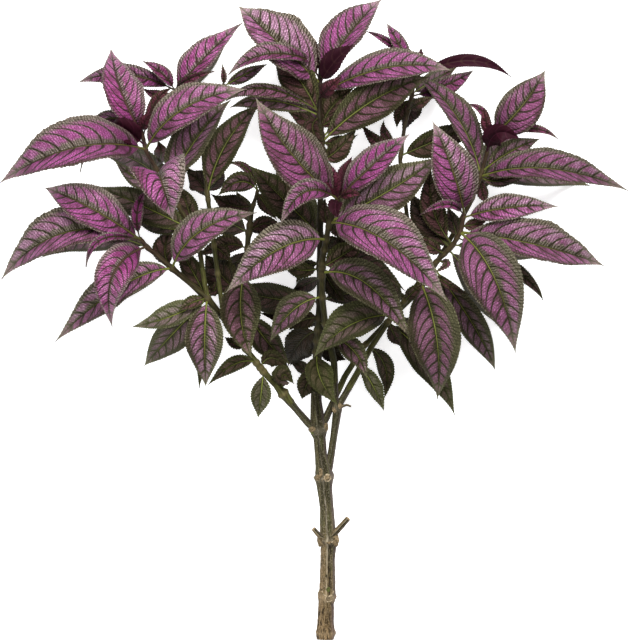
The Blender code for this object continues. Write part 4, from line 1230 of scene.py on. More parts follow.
joint_places = [to_model_mm(place) for place in JOINT_SWELLS]
trunk_path, *limb_paths = sorted(stubs_on("main_stem"), key=len, reverse=True)
bark_tubes = [bark_tube(trunk_path, TRUNK_AGES, joint_places)]
bark_tubes += [bark_tube(path, LIMB_AGES, joint_places) for path in limb_paths]
twigs = [[(*point[:3], point[3] * TWIG_WIDTH) for point in path] for path in TRUNK_STUBS[:2]]
twigs.append(TRUNK_STUBS[2])
bark_tubes += [bark_tube(path, TWIG_AGES, [to_model_mm(path[0][:3])]) for path in twigs]
bark_sizes = [(len(bark_tubes[0]["along"]) - 1, TRUNK_SIDES)]
bark_sizes += [(len(tube["along"]) - 1, LIMB_SIDES) for tube in bark_tubes[1:]]
bark = placed("main_stem_bark", unit_tubes(bark_sizes), shape_tubes(bark_tubes, bark_relief))
print("bark faces:", len(bark.data.polygons))

# %% [markdown]
# ## Scars, buds and cut ends
#
# A fallen leaf leaves a raised crescent on the joint with a bud over it, and a fallen twig a round
# scar. Each is a small closed form set half into the bark: a ball pressed flat, or a round bar bent
# along an arc. The pruned twigs and the foot end in flat cuts, which show pale wood round the pith.

# %% Balls and arcs on the bark
# Each ball is x, y on the sheet, its reach across, along and out of the bark, and its kind.
BALLS = [
    (328.2, 589.5, 2.0, 3.2, 1.6, "bud"), (320.4, 540.5, 3.2, 6.4, 3.4, "scar"),
    (335.6, 539.5, 3.6, 7.0, 3.6, "scar"), (328.3, 542.5, 3.2, 1.5, 1.2, "scar"),
    (327.2, 477.8, 2.6, 2.6, 1.2, "scar"), (318.6, 477.5, 3.4, 3.4, 2.0, "scar"),
    (321.0, 471.5, 2.0, 6.0, 1.5, "scar"),
    (312.8, 429.5, 4.2, 2.8, 2.6, "scar"), (325.6, 427.0, 2.8, 4.4, 2.4, "scar"),
    (312.6, 432.5, 2.4, 1.6, 1.2, "bud"), (334.4, 409.5, 2.4, 3.4, 1.6, "scar"),
    (339.6, 405.5, 2.0, 3.4, 1.5, "scar"),
]
# Each arc is x, y on the sheet, its radius, its first angle and its sweep in degrees, and the
# radius of its bar.
ARCS = [
    (327.8, 591.8, 5.2, 170, 200, 1.0), (327.3, 477.8, 3.2, 0, 360, 0.8),
    (328.6, 597.5, 4.6, 220, 100, 0.7), (328.3, 537.0, 6.4, 215, 110, 0.7),
    (319.6, 476.5, 4.4, 200, 140, 0.7),
]
BALL_SIDES = (18, 12)
ARC_STEPS = 26
ARC_SIDES = 8
ARC_ENDS = 0.35
SINK = 0.35
BALL_ROUGH = 0.3
BALL_LUMPS = 2.2
ARC_ROUGH = 0.5
MARK_MERGE = 1e-6


def bark_height(x, y):
    """How high the bark stands over a place on the sheet."""
    best = 0.0
    for path in (trunk_path, *limb_paths):
        for (x0, y0, z0, r0), (x1, y1, z1, r1) in zip(path[:-1], path[1:]):
            run = (x1 - x0) ** 2 + (y1 - y0) ** 2
            share = min(max(((x - x0) * (x1 - x0) + (y - y0) * (y1 - y0)) / run, 0), 1)
            radius = r0 + (r1 - r0) * share
            away = math.hypot(x0 + (x1 - x0) * share - x, y0 + (y1 - y0) * share - y)
            if away < radius:
                best = max(best, z0 + (z1 - z0) * share + math.sqrt(radius**2 - away**2))
    return best


def bark_ball(bm, x, y, across, along, out):
    """A ball pressed flat, rough all over, set into the bark at a place on the sheet."""
    around, up = BALL_SIDES
    made = bmesh.ops.create_uvsphere(bm, u_segments=around, v_segments=up, radius=1)
    centre = to_model_mm(np.array([x, y, bark_height(x, y) - SINK * out]))
    for vert in made["verts"]:
        rough = 1 + BALL_ROUGH * noise.noise(vert.co * BALL_LUMPS + Vector((x, y, 0)))
        vert.co = Vector((vert.co.x * across, vert.co.y * along, vert.co.z * out)) * rough
        vert.co = (vert.co + Vector(centre)) * MM


def bark_arc(bm, x, y, radius, start, sweep, bar):
    """A round bar bent along an arc that follows the bark; a full turn closes on itself."""
    made = bmesh.ops.create_circle(bm, segments=ARC_SIDES, radius=bar)["verts"]
    turn = Matrix.Rotation(math.radians(start), 3, "Z")
    for vert in made:
        vert.co = turn @ Vector((radius + vert.co.x, 0, vert.co.y))
    edges = list({edge for vert in made for edge in vert.link_edges})
    whole = sweep == 360
    spun = bmesh.ops.spin(
        bm, geom=[*made, *edges], cent=(0, 0, 0), axis=(0, 0, 1), angle=math.radians(sweep),
        steps=ARC_STEPS, use_merge=whole,
    )["geom_last"]
    if not whole:
        last = [part for part in spun if isinstance(part, bmesh.types.BMEdge)]
        bmesh.ops.contextual_create(bm, geom=edges)
        bmesh.ops.contextual_create(bm, geom=last)
    loose = [vert for vert in bm.verts if not vert.tag]
    for vert in loose:
        angle = math.degrees(math.atan2(vert.co.y, vert.co.x)) % 360
        share = ((angle - start) % 360) / sweep
        thick = math.sin(math.pi * min(max(share, 0), 1))
        thin = 1 if whole else ARC_ENDS + (1 - ARC_ENDS) * thick
        ridge = Vector((vert.co.x, vert.co.y, 0)).normalized() * radius
        rough = noise.noise(Vector((ridge.x, ridge.y, x + y))) * ARC_ROUGH
        away = (vert.co - ridge) * (thin + rough)
        ridge *= 1 + rough / radius
        height = bark_height(x + ridge.x, y - ridge.y)
        centre = Vector(to_model_mm(np.array([x + ridge.x, y - ridge.y, height - SINK * bar])))
        vert.co = (centre + away) * MM
        vert.tag = True


def small_piece(name, bm):
    """Turns finished small forms into one object."""
    bmesh.ops.remove_doubles(bm, verts=bm.verts, dist=MARK_MERGE)
    bmesh.ops.recalc_face_normals(bm, faces=bm.faces)
    mesh = mesh_from(name, bm)
    mesh.shade_smooth()
    return linked(name, mesh)


def bark_marks(name, kind):
    """All the balls of one kind."""
    bm = bmesh.new()
    for x, y, across, along, out, sort in BALLS:
        if sort == kind:
            bark_ball(bm, x, y, across, along, out)
    return small_piece(name, bm)


def bark_rims(name):
    """All the arcs."""
    bm = bmesh.new()
    for arc in ARCS:
        bark_arc(bm, *arc)
    return small_piece(name, bm)


scars, buds = bark_marks("main_stem_scars", "scar"), bark_marks("main_stem_buds", "bud")
rims = bark_rims("main_stem_rims")
print("faces of the marks:", [len(piece.data.polygons) for piece in (scars, buds, rims)])

# %% [markdown]
# A cut shows the pith, the wood round it and the bark as rings. A cone as wide at its top as at its
# base makes a thin plate, and its top face is inset a few times, so each ring has faces to colour.

# %% Cut ends
CUT_RINGS = 5
CUT_SIDES = 32
CUT_PROUD = 0.15
CUT_FIT = 0.96


def cut_end(bm, path, at_start):
    """A thin round plate across the end of a stem, in rings round its middle."""
    end, inner = (path[0], path[1]) if at_start else (path[-1], path[-2])
    centre = Vector(to_model_mm(np.array(end[:3], float)))
    out = (centre - Vector(to_model_mm(np.array(inner[:3], float)))).normalized()
    made = bmesh.ops.create_cone(
        bm, cap_ends=True, segments=CUT_SIDES, radius1=1, radius2=1, depth=2,
    )["verts"]
    faces = {face for vert in made for face in vert.link_faces}
    top = max(faces, key=lambda face: face.calc_center_median().z)
    top.normal_update()
    for _ in range(CUT_RINGS - 1):
        bmesh.ops.inset_individual(bm, faces=[top], thickness=1 / CUT_RINGS, use_even_offset=True)
    turn = Vector((0, 0, 1)).rotation_difference(out).to_matrix()
    layer = bm.verts.layers.float["out"]
    for vert in bm.verts:
        if not vert.tag:
            vert[layer] = math.hypot(vert.co.x, vert.co.y)
            flat = Vector((vert.co.x, vert.co.y, 0)) * end[3] * CUT_FIT
            vert.co = (centre + out * vert.co.z * CUT_PROUD + turn @ flat) * MM
            vert.tag = True


bm = bmesh.new()
bm.verts.layers.float.new("out")
cut_end(bm, trunk_path, True)
for twig in twigs[:2]:
    cut_end(bm, twig, False)
cuts = small_piece("main_stem_cuts", bm)
print("faces of the cut ends:", len(cuts.data.polygons))

# %% [markdown]
# ## Mixing paint with nodes
#
# Each finish is a small net of shader nodes that reads the numbers kept on the mesh. Two helpers
# keep the nets short to write. A varying number can be added, multiplied and so on like a plain
# one, and each such step adds a node; the finish itself adds noises, steps, ramps and mixtures.

# %% Varying numbers
def tint(red, green, blue):
    """A colour named as on screen, 0 to 255, in the linear values that a shader takes."""
    shares = (red / 255, green / 255, blue / 255)
    linear = [s / 12.92 if s <= 0.04045 else ((s + 0.055) / 1.055) ** 2.4 for s in shares]
    return (*linear, 1)


class Varying:
    """A number that varies over a piece."""

    def __init__(self, paint, socket):
        self.paint, self.socket = paint, socket

    def __add__(self, other):
        return self.paint.math("ADD", self, other)

    def __sub__(self, other):
        return self.paint.math("SUBTRACT", self, other)

    def __rsub__(self, other):
        return self.paint.math("SUBTRACT", other, self)

    def __mul__(self, other):
        return self.paint.math("MULTIPLY", self, other)

    def __truediv__(self, other):
        return self.paint.math("DIVIDE", self, other)

    def __abs__(self):
        return self.paint.math("ABSOLUTE", self)


print("a middle grey is", round(tint(128, 128, 128)[0], 3), "in linear light")


# %% A finish
class Finish:
    """A material whose nodes are added one by one."""

    def __init__(self, name, roughness, specular):
        self.material = bpy.data.materials.new(name)
        self.material.use_nodes = True
        self.tree = self.material.node_tree
        self.shader = self.tree.nodes["Principled BSDF"]
        self.shader.inputs["Roughness"].default_value = roughness
        self.shader.inputs["Specular IOR Level"].default_value = specular

    def add(self, kind):
        return self.tree.nodes.new("ShaderNode" + kind)

    def set(self, socket, value):
        """Gives a socket a plain value, or links what varies to it."""
        if isinstance(value, Varying):
            value = value.socket
        if isinstance(value, bpy.types.NodeSocket):
            self.tree.links.new(value, socket)
        else:
            socket.default_value = value

    def read(self, name):
        """A number kept on the mesh."""
        node = self.add("Attribute")
        node.attribute_name = name
        return Varying(self, node.outputs["Fac"])

    def place(self):
        return self.add("TexCoord").outputs["Object"]

    def math(self, operation, *values):
        node = self.add("Math")
        node.operation = operation
        for socket, value in zip(node.inputs, values):
            self.set(socket, value)
        return Varying(self, node.outputs[0])

    def from_whole(self, value):
        """How far a number is from the nearest whole one, 0 to 0.5."""
        return self.math("PINGPONG", value, 0.5)

    def larger(self, a, b):
        return self.math("MAXIMUM", a, b)

    def step(self, value, low, high, start=0.0, end=1.0):
        """start below low, end above high, and an even change between."""
        node = self.add("MapRange")
        node.interpolation_type = "SMOOTHSTEP"
        for key, amount in (("Value", value), ("From Min", low), ("From Max", high)):
            self.set(node.inputs[key], amount)
        self.set(node.inputs["To Min"], start)
        self.set(node.inputs["To Max"], end)
        return Varying(self, node.outputs[0])

    def vector(self, x, y, z):
        node = self.add("CombineXYZ")
        for socket, value in zip(node.inputs, (x, y, z)):
            self.set(socket, value)
        return node.outputs[0]

    def noise(self, vector, scale, detail=3.0, roughness=0.55):
        node = self.add("TexNoise")
        self.set(node.inputs["Vector"], vector)
        for key, value in (("Scale", scale), ("Detail", detail), ("Roughness", roughness)):
            node.inputs[key].default_value = value
        return Varying(self, node.outputs["Fac"])

    def cells(self, vector, scale):
        """How far a point is from the borders of small irregular cells."""
        node = self.add("TexVoronoi")
        node.feature = "DISTANCE_TO_EDGE"
        node.inputs["Scale"].default_value = scale
        self.set(node.inputs["Vector"], vector)
        return Varying(self, node.outputs["Distance"])

    def ramp(self, factor, stops):
        """Colours at places from 0 to 1, blended between."""
        node = self.add("ValToRGB")
        elements = node.color_ramp.elements
        while len(elements) < len(stops):
            elements.new(0.5)
        for element, (place, colour) in zip(elements, stops):
            element.position = place
            element.color = tint(*colour)
        self.set(node.inputs["Fac"], factor)
        return node.outputs["Color"]

    def mix(self, factor, a, b, mode="MIX"):
        node = self.add("Mix")
        node.data_type = "RGBA"
        node.blend_type = mode
        self.set(node.inputs[0], factor)
        for socket, value in ((node.inputs[6], a), (node.inputs[7], b)):
            self.set(socket, tint(*value) if isinstance(value, tuple) else value)
        return node.outputs[2]

    def stain(self, colour, other):
        """A colour seen through another one."""
        return self.mix(1.0, colour, other, "MULTIPLY")

    def brighten(self, colour, level):
        """A colour made lighter or darker by a varying number."""
        return self.stain(colour, self.vector(level, level, level))

    def finish(self, colour, relief, distance, strength):
        """Colours the shader and bumps it by relief; distance is the bump's height in metres."""
        self.set(self.shader.inputs["Base Color"], colour)
        node = self.add("Bump")
        node.inputs["Strength"].default_value = strength
        node.inputs["Distance"].default_value = distance
        self.set(node.inputs["Height"], relief)
        self.tree.links.new(node.outputs[0], self.shader.inputs["Normal"])
        return self.material


print("a finish can:", [name for name in vars(Finish) if not name.startswith("_")])

# %% [markdown]
# ## The upper face of a leaf
#
# Between the side veins lie panels of magenta or lilac, with a silver bloom that grows towards the
# tip and is partly a painted sheen, stronger on the half turned to the light. Veins and midrib are
# thin dark green lines. On the half that is turned to the light, short pale and dark rungs stand
# side by side on the midrib and round the margin, and the magenta keeps to the middle between them;
# the pale rungs there are a painted sheen. The other half gets painted shade and is purple nearly
# from midrib to margin. All of it hangs on the numbers of the mesh: the vein number gives the
# distance to the next vein, the distances from midrib and margin are in millimetres, and so is the
# way along that the rungs count.

# %% Patterns of a leaf
GRAIN_SCALE = 430
PATCH_SCALE = 85
NET_SCALE = 470
RUNG_SPACING = 3.1
RUNG_MIDDLE = 0.55


class LeafPaint(Finish):
    """The paint of a leaf's upper face, with the patterns that its parts share."""

    def __init__(self):
        super().__init__("leaf_upper", roughness=0.6, specular=0.1)
        place = self.place()
        self.age, self.along, self.sky = self.read("age"), self.read("along"), self.read("sky")
        self.rib, self.edge = self.read("rib"), self.read("edge")
        self.chance = self.read("chance")
        self.grain = self.noise(place, GRAIN_SCALE, 2)
        self.patches = self.noise(place, PATCH_SCALE, 3)
        self.from_vein = self.from_whole(self.read("phase")) * 2 + (self.grain - 0.5) * 0.2
        self.net = self.step(self.cells(place, NET_SCALE), 0.03, 0.26)
        self.rung = self.rungs()
        self.slim = self.rib / (2.0 - self.along * 1.4)

    def rungs(self):
        """Rungs that cross each half from midrib to margin, a little uneven: 1 on a pale one."""
        count = self.read("way") / RUNG_SPACING + self.grain * 1.1 + self.patches * 2.0
        rung = self.step(self.from_whole(count - self.rib * 0.12), 0.04, 0.38)
        strong = (self.chance * 0.5 + 0.5) * self.step(self.age, 0.4, 0.8, 1.0, 0.6)
        return (rung - RUNG_MIDDLE) * strong + RUNG_MIDDLE


print("rungs are", RUNG_SPACING, "mm apart")

# %% [markdown]
# The colours are ramps over the leaf's age. Three make the ground: the green of veins and margin,
# the pale olive between its rungs, which is a painted sheen on the half turned to the light, and a
# dusky purple, painted shade, for the half turned from the light.

# %% Ground and panels
GREEN = [(0.0, (60, 17, 34)), (0.2, (40, 27, 19)), (0.5, (38, 36, 18)), (1.0, (52, 54, 28))]
PALE = [
    (0.0, (130, 62, 106)), (0.25, (162, 148, 140)), (0.6, (116, 113, 86)), (1.0, (116, 118, 84)),
]
DEEP = [
    (0.0, (86, 24, 56)), (0.3, (72, 37, 46)), (0.6, (64, 47, 42)), (0.85, (59, 54, 38)),
    (1.0, (64, 66, 42)),
]
BRIGHT = [
    (0.0, (146, 44, 114)), (0.12, (188, 76, 158)), (0.35, (182, 92, 160)), (0.55, (170, 108, 150)),
    (0.75, (158, 112, 140)), (0.9, (130, 110, 110)), (1.0, (102, 100, 76)),
]
SILVER = [(0.0, (196, 104, 170)), (0.4, (204, 168, 190)), (1.0, (138, 136, 114))]


def leaf_ground(paint, green, pale, deep):
    """Pale and dark rungs and cells on the half turned to the light, a painted sheen, and dusky
    ones on the other, painted shade.
    """
    cell = paint.rung * (paint.net * 0.5 + 0.5)
    lit = paint.mix(cell, green, pale)
    dusky = paint.mix(cell * 0.8, green, deep)
    return paint.mix(paint.step(paint.sky, 0.25, 0.8, 0.2, 0.95), dusky, lit)


def leaf_panels(paint, deep):
    """The panels between the veins, brightest in patches, with a silver bloom that is partly a
    painted sheen on the half turned to the light, and duller in patches, more so as painted shade
    on the half turned from it.
    """
    bloom = paint.patches * 1.1 + paint.along * 0.5 + paint.sky * 0.4 + paint.chance * 0.5 - 1.2
    bright, silver = paint.ramp(paint.age, BRIGHT), paint.ramp(paint.age, SILVER)
    panel = paint.mix(paint.step(bloom, 0.0, 0.6, 0.0, 0.75), bright, silver)
    panel = paint.mix((1.0 - paint.net) * 0.6, panel, deep)
    panel = paint.mix((1.0 - paint.rung) * 0.6, panel, deep)
    dull = paint.step(paint.patches, 0.56, 0.36) * (0.65 - paint.sky * 0.3)
    return paint.mix(dull, panel, deep)


def panel_share(paint):
    """1 where panels show, by the share of the way from midrib to margin, and 0 on a vein."""
    across = paint.rib / paint.larger(paint.rib + paint.edge, 1.0) + (paint.grain - 0.5) * 0.24
    # On the half turned to the light the panels are narrower, so more of the painted sheen of the
    # ground shows.
    inner = across + (paint.patches - 0.5) * 0.3 - paint.sky * 0.12
    outer = across + paint.step(paint.age, 0.42, 0.66, 0.0, 0.17) + paint.sky * 0.12
    between = paint.step(inner, 0.02, 0.16) * paint.step(outer, 0.98, 0.72)
    return paint.step(paint.from_vein, 0.04, 0.42) * between


print("the panels have", len(BRIGHT), "colours by age")

# %% [markdown]
# The lines go on top of the panels, so a vein stays sharp wherever it runs. A vein sets out dark
# from the midrib and fades just before the margin.

# %% Veins, margin, tip and painted shade at the heart
PALE_MIDRIB = (122, 128, 70)
HEART_SHADE = (46, 15, 28)


def leaf_lines(paint, colour, green, pale):
    """Dark veins and midrib, a pale toothed rim, and a yellow-green midrib on an old leaf."""
    vein = paint.step(paint.from_vein, 0.04, 0.22, 0.94, 0.0)
    vein = vein * paint.step(paint.edge, 1.0, 6.0, 0.1, 1.0)
    vein = paint.larger(vein, paint.step(paint.slim, 0.4, 1.0, 0.95, 0.0))
    colour = paint.mix(vein, colour, green)
    rim = paint.step(paint.grain * 2.0 + paint.edge, 1.4, 3.4, 0.7, 0.0) * paint.net
    colour = paint.mix(rim, colour, pale)
    midrib = paint.step(paint.slim, 0.16, 0.5, 1.0, 0.0) * paint.step(paint.age, 0.4, 0.6)
    midrib = midrib * paint.step(paint.along, 0.08, 0.6, 0.9, 0.0)
    return paint.mix(midrib, colour, PALE_MIDRIB)


def leaf_ends(paint, colour, pale):
    """A pale tip on all but the youngest leaves, and painted shade, dark maroon, at the base of a
    young one.
    """
    tip = paint.step(paint.along, 0.78, 1.0, 0.0, 0.7) * paint.step(paint.age, 0.1, 0.3)
    colour = paint.mix(tip, colour, pale)
    # Painted shade: the base of a young leaf, towards the heart of its shoot, is darkened to
    # maroon.
    heart = paint.step(paint.along, 0.42, 0.08, 0.0, 0.6) * paint.step(paint.age, 0.55, 0.3)
    return paint.mix(heart, colour, HEART_SHADE)


print("a pale midrib is", PALE_MIDRIB, "and a dark heart", HEART_SHADE)

# %% [markdown]
# The paint of the upper face lays these on one another: ground, panels, lines, ends, then the
# shadow deep in the crown. Rungs, cells and swelling panels are also a fine relief.

# %% Upper leaf paint
LEAF_SHADOW = (24, 15, 8)
GREEN_SHADOW = (236, 252, 190)


def upper_leaf():
    paint = LeafPaint()
    green, pale, deep = (paint.ramp(paint.age, stops) for stops in (GREEN, PALE, DEEP))
    ground, panels = leaf_ground(paint, green, pale, deep), leaf_panels(paint, deep)
    colour = paint.mix(panel_share(paint), ground, panels)
    colour = leaf_lines(paint, colour, green, pale)
    colour = leaf_ends(paint, colour, pale)

    # Leaves differ in brightness, and those deep in the crown get painted shade that makes them
    # greener and darker.
    colour = paint.brighten(colour, paint.chance * 0.22 + 0.87)
    shade = paint.math("POWER", paint.read("shade"), 0.62)
    colour = paint.mix(paint.step(shade, 0.2, 0.7), colour, paint.stain(colour, GREEN_SHADOW))
    colour = paint.mix(shade * 0.95, colour, LEAF_SHADOW)
    relief = paint.step(paint.from_vein, 0.0, 0.3) * 0.5 + paint.rung + paint.net * 0.5
    return paint.finish(colour, relief, distance=0.001, strength=0.9)


upper_paint = upper_leaf()
print("nodes in the upper leaf's paint:", len(upper_paint.node_tree.nodes))

# %% [markdown]
# ## The lower face, stalks and young stems
#
# The back of a young leaf is deep maroon, of an old one dull purple-green with paler veins. The
# stalk and the back of the midrib are maroon on young leaves and bright yellow-green on old ones.
# Young stems go from maroon at the top to olive lower down, with darker streaks and tan joints.

# %% Lower leaf paint
BACK = [
    (0.0, (46, 10, 24)), (0.25, (62, 22, 40)), (0.5, (80, 46, 60)), (0.8, (80, 64, 62)),
    (1.0, (84, 80, 60)),
]
BACK_VEINS = [(0.0, (62, 20, 38)), (0.4, (88, 70, 54)), (1.0, (110, 114, 70))]
BACK_SHADOW = (16, 9, 8)


def lower_leaf():
    paint = Finish("leaf_lower", roughness=0.65, specular=0.08)
    age, grain = paint.read("age"), paint.noise(paint.place(), 380, 2)
    from_vein = paint.from_whole(paint.read("phase")) * 2
    veined = paint.step(from_vein, 0.06, 0.24, 0.75, 0.0)
    colour = paint.mix(veined, paint.ramp(age, BACK), paint.ramp(age, BACK_VEINS))
    colour = paint.brighten(colour, grain * 0.5 + 0.75)
    # Painted shade deep in the crown darkens the back of a leaf.
    colour = paint.mix(paint.read("shade") * 0.95, colour, BACK_SHADOW)
    relief = grain * 0.4 + paint.step(from_vein, 0.0, 0.4, 1.0, 0.0)
    return paint.finish(colour, relief, distance=0.0004, strength=0.6)


lower_paint = lower_leaf()
print("nodes in the lower leaf's paint:", len(lower_paint.node_tree.nodes))

# %% [markdown]
# A stem's streaks read the cosine and sine round it and the way along it, so they follow each
# bend. A stalk is too thin for streaks and is only mottled.

# %% Stalk and young stem paints
STALK = [(0.0, (70, 22, 42)), (0.25, (66, 54, 32)), (0.5, (92, 96, 38)), (1.0, (124, 134, 58))]
YOUNG = [(0.0, (70, 28, 44)), (0.3, (60, 50, 30)), (0.65, (64, 66, 30)), (1.0, (86, 88, 44))]
STREAK_STAIN = (150, 128, 128)
JOINT_TAN = (108, 96, 64)
STEM_SHADOW = (18, 13, 8)


def green_stalk():
    paint = Finish("leaf_stalk", roughness=0.55, specular=0.18)
    grain = paint.noise(paint.place(), 500, 2)
    colour = paint.brighten(paint.ramp(paint.read("age"), STALK), grain * 0.4 + 0.8)
    # Painted shade deep in the crown darkens a stalk.
    colour = paint.mix(paint.read("shade") * 0.9, colour, STEM_SHADOW)
    return paint.finish(colour, grain, distance=0.0002, strength=0.4)


def young_stem():
    paint = Finish("young_stem", roughness=0.6, specular=0.12)
    age = paint.read("age")
    skin = paint.vector(paint.read("cosine"), paint.read("sine"), paint.read("along") * 0.03)
    colour = paint.ramp(age, YOUNG)
    dark = paint.stain(colour, STREAK_STAIN)
    colour = paint.mix(paint.step(paint.noise(skin, 3.2, 4), 0.35, 0.65), dark, colour)
    tan = paint.read("knot") * paint.step(age, 0.2, 0.8, 0.1, 0.5)
    colour = paint.mix(tan, colour, JOINT_TAN)
    # Painted shade deep in the crown darkens a stem.
    colour = paint.mix(paint.read("shade") * 0.9, colour, STEM_SHADOW)
    relief = paint.noise(paint.place(), 700, 2)
    return paint.finish(colour, relief, distance=0.0002, strength=0.4)


stalk_paint, stem_paint = green_stalk(), young_stem()
print("stalks and stems have", len(STALK), "and", len(YOUNG), "colours by age")

# %% [markdown]
# ## Bark
#
# The wood is tan at the foot and olive above, streaked and striped lengthwise, with pale specks. A
# grey edge on its left is painted shade, and a tan strip on its right is a painted highlight. Moss
# green comes through in the middle. From the lowest joint upwards a dark fissure with a pale crest
# beside it runs along the wood, strongest up to the next joint.

# %% Patterns of the bark
STREAK_STRETCH = 0.014
CRACK_STRETCH = 0.025
STRIPE_STRETCH = 0.005


class BarkPaint(Finish):
    """The paint of the woody stem, with the patterns that its parts share."""

    def __init__(self):
        super().__init__("bark", roughness=0.8, specular=0.12)
        self.age, self.knot = self.read("age"), self.read("knot")
        self.cosine, self.sine = self.read("cosine"), self.read("sine")
        self.along = self.read("along")
        self.streak = self.noise(self.skin(STREAK_STRETCH), 6.5, 6, 0.78)
        self.crack = self.noise(self.skin(CRACK_STRETCH), 5.0, 4)
        self.speck = self.noise(self.place(), 620, 4, 0.8)

    def skin(self, stretch):
        """Places on the skin, drawn out lengthwise: the smaller the stretch, the longer."""
        return self.vector(self.cosine, self.sine, self.along * stretch)


print("a unit of the streaks' noise is", round(1 / STREAK_STRETCH), "mm long")

# %% Ground of the bark
WOOD = [
    (0.0, (136, 112, 78)), (0.16, (130, 110, 76)), (0.38, (120, 110, 80)), (0.6, (94, 90, 62)),
    (0.8, (84, 80, 54)), (1.0, (66, 64, 40)),
]
DARK_WOOD = [(0.0, (62, 46, 28)), (0.35, (44, 40, 24)), (1.0, (34, 32, 18))]
LIGHT_WOOD = [(0.0, (186, 162, 126)), (0.4, (166, 154, 134)), (1.0, (122, 114, 98))]
MOSS = (82, 88, 50)
PAINTED_HIGHLIGHT_TAN = (150, 126, 92)


def bark_ground(paint, dark, light):
    """Wood with moss and a tan strip of painted highlight, then dark streaks and stripes and pale
    specks on it.
    """
    age, streak, speck = paint.age, paint.streak, paint.speck
    mossy = paint.step(paint.noise(paint.skin(CRACK_STRETCH), 2.2), 0.46, 0.62)
    mossy = mossy * paint.step(age, 0.14, 0.2) * 0.6
    base = paint.mix(mossy, paint.ramp(age, WOOD), MOSS)
    # Painted highlight: a tan strip along one side of the wood, strongest low on the trunk.
    highlight_strip = paint.step(paint.cosine, 0.15, 0.45) * paint.step(age, 0.36, 0.46, 0.75, 0.1)
    base = paint.mix(highlight_strip, base, PAINTED_HIGHLIGHT_TAN)
    colour = paint.mix(paint.step(streak, 0.38, 0.56), dark, base)
    stripes = paint.step(paint.noise(paint.skin(STRIPE_STRETCH), 3.6, 2), 0.54, 0.44)
    colour = paint.mix(stripes * paint.step(age, 0.3, 0.7, 0.25, 0.85), colour, dark)
    colour = paint.mix(paint.step(streak, 0.6, 0.68, 0.0, 0.7), colour, light)
    colour = paint.mix(paint.step(speck, 0.54, 0.66, 0.0, 0.7), colour, light)
    return paint.mix(paint.step(speck, 0.34, 0.46, 0.8, 0.0), colour, dark)


print("the wood has", len(WOOD), "colours by age")

# %% [markdown]
# The fissure is where a wobbling line along the skin is near one cosine, and the crest is a band
# beside it. Both are broken up by the noise that also makes the small cracks.

# %% Fissure, crest and the finished bark
FISSURE_DARK = (38, 29, 17)
PAINTED_SHADE_GREY = (92, 78, 78)


def fissure_and_crest(paint):
    """How strongly the long fissure and the crest beside it show."""
    age, crack = paint.age, paint.crack
    wobble = paint.noise(paint.vector(0.0, 0.0, paint.along * 0.06), 2.0, 2)
    off = wobble * 0.3 + paint.cosine + 0.07
    fissure = paint.step(abs(off), 0.26, 0.12) * paint.step(age, 0.13, 0.17)
    fissure = fissure * paint.step(age, 0.36, 0.44, 1.0, 0.45)
    fissure = fissure * paint.step(crack, 0.62, 0.42, 0.15, 0.95)
    crest = paint.step(abs(off - 0.34), 0.14, 0.05, 0.0, 0.75)
    crest = crest * paint.step(age, 0.5, 0.62, 1.0, 0.3) * paint.step(age, 0.13, 0.18, 0.1, 1.0)
    crest = crest * paint.step(crack, 0.4, 0.56, 0.35, 1.0)
    return fissure, crest


def bark_paint():
    paint = BarkPaint()
    age = paint.age
    dark, light = paint.ramp(age, DARK_WOOD), paint.ramp(age, LIGHT_WOOD)
    fissure, crest = fissure_and_crest(paint)
    colour = paint.mix(crest, bark_ground(paint, dark, light), light)
    depth = paint.crack - paint.step(age, 0.12, 0.17, 0.06, 0.0)
    cracked = paint.step(depth, 0.4, 0.33) * paint.step(age, 0.3, 0.5, 0.85, 0.3)
    cracked = paint.larger(cracked, fissure)
    colour = paint.mix(cracked, colour, FISSURE_DARK)
    # Painted shade: a grey edge along the other side of the wood.
    colour = paint.mix(paint.step(paint.cosine, -0.9, -0.45, 0.65, 0.0), colour, PAINTED_SHADE_GREY)
    colour = paint.mix(paint.knot * 0.25, colour, light)
    relief = paint.streak * 1.5 + paint.speck - cracked * 1.2
    return paint.finish(colour, relief, distance=0.0012, strength=1.0)


trunk_paint = bark_paint()
print("nodes in the bark's paint:", len(trunk_paint.node_tree.nodes))

# %% [markdown]
# Scars and cut ends are small pieces with plain paints of their own: weathered tan for a scar,
# dull green for a bud, and pale wood with a darker pith and rim for a cut.

# %% Scar, bud and cut wood paints
CUT_WOOD = [
    (0.0, (84, 62, 40)), (0.2, (98, 76, 50)), (0.3, (146, 124, 90)), (0.55, (132, 112, 80)),
    (0.8, (142, 122, 90)), (0.92, (80, 62, 42)), (1.0, (66, 52, 34)),
]


def mark_paint(name, low, high):
    """A rough skin from one colour in its hollows to another on its crests."""
    paint = Finish(name, roughness=0.75, specular=0.15)
    grain = paint.noise(paint.place(), 480, 5, 0.8)
    colour = paint.ramp(grain, [(0.38, low), (0.62, high)])
    return paint.finish(colour, grain, distance=0.0016, strength=1.0)


def cut_wood_paint():
    paint = Finish("cut_wood", roughness=0.7, specular=0.2)
    grain = paint.noise(paint.place(), 700)
    out = grain * 0.16 + paint.read("out") - 0.08
    return paint.finish(paint.ramp(out, CUT_WOOD), grain, distance=0.0003, strength=0.5)


scar_paint = mark_paint("scar_bark", (54, 44, 28), (150, 130, 98))
rim_paint = mark_paint("pale_bark", (82, 68, 46), (196, 178, 146))
bud_paint = mark_paint("bud_skin", (48, 54, 24), (108, 112, 60))
cut_paint = cut_wood_paint()
print("materials so far:", len(bpy.data.materials))

# %% [markdown]
# ## Putting the shoots together
#
# Each shoot of the frame is replaced by three pieces: its leaves, their stalks and its stems. All
# stay where the frame's own node was.

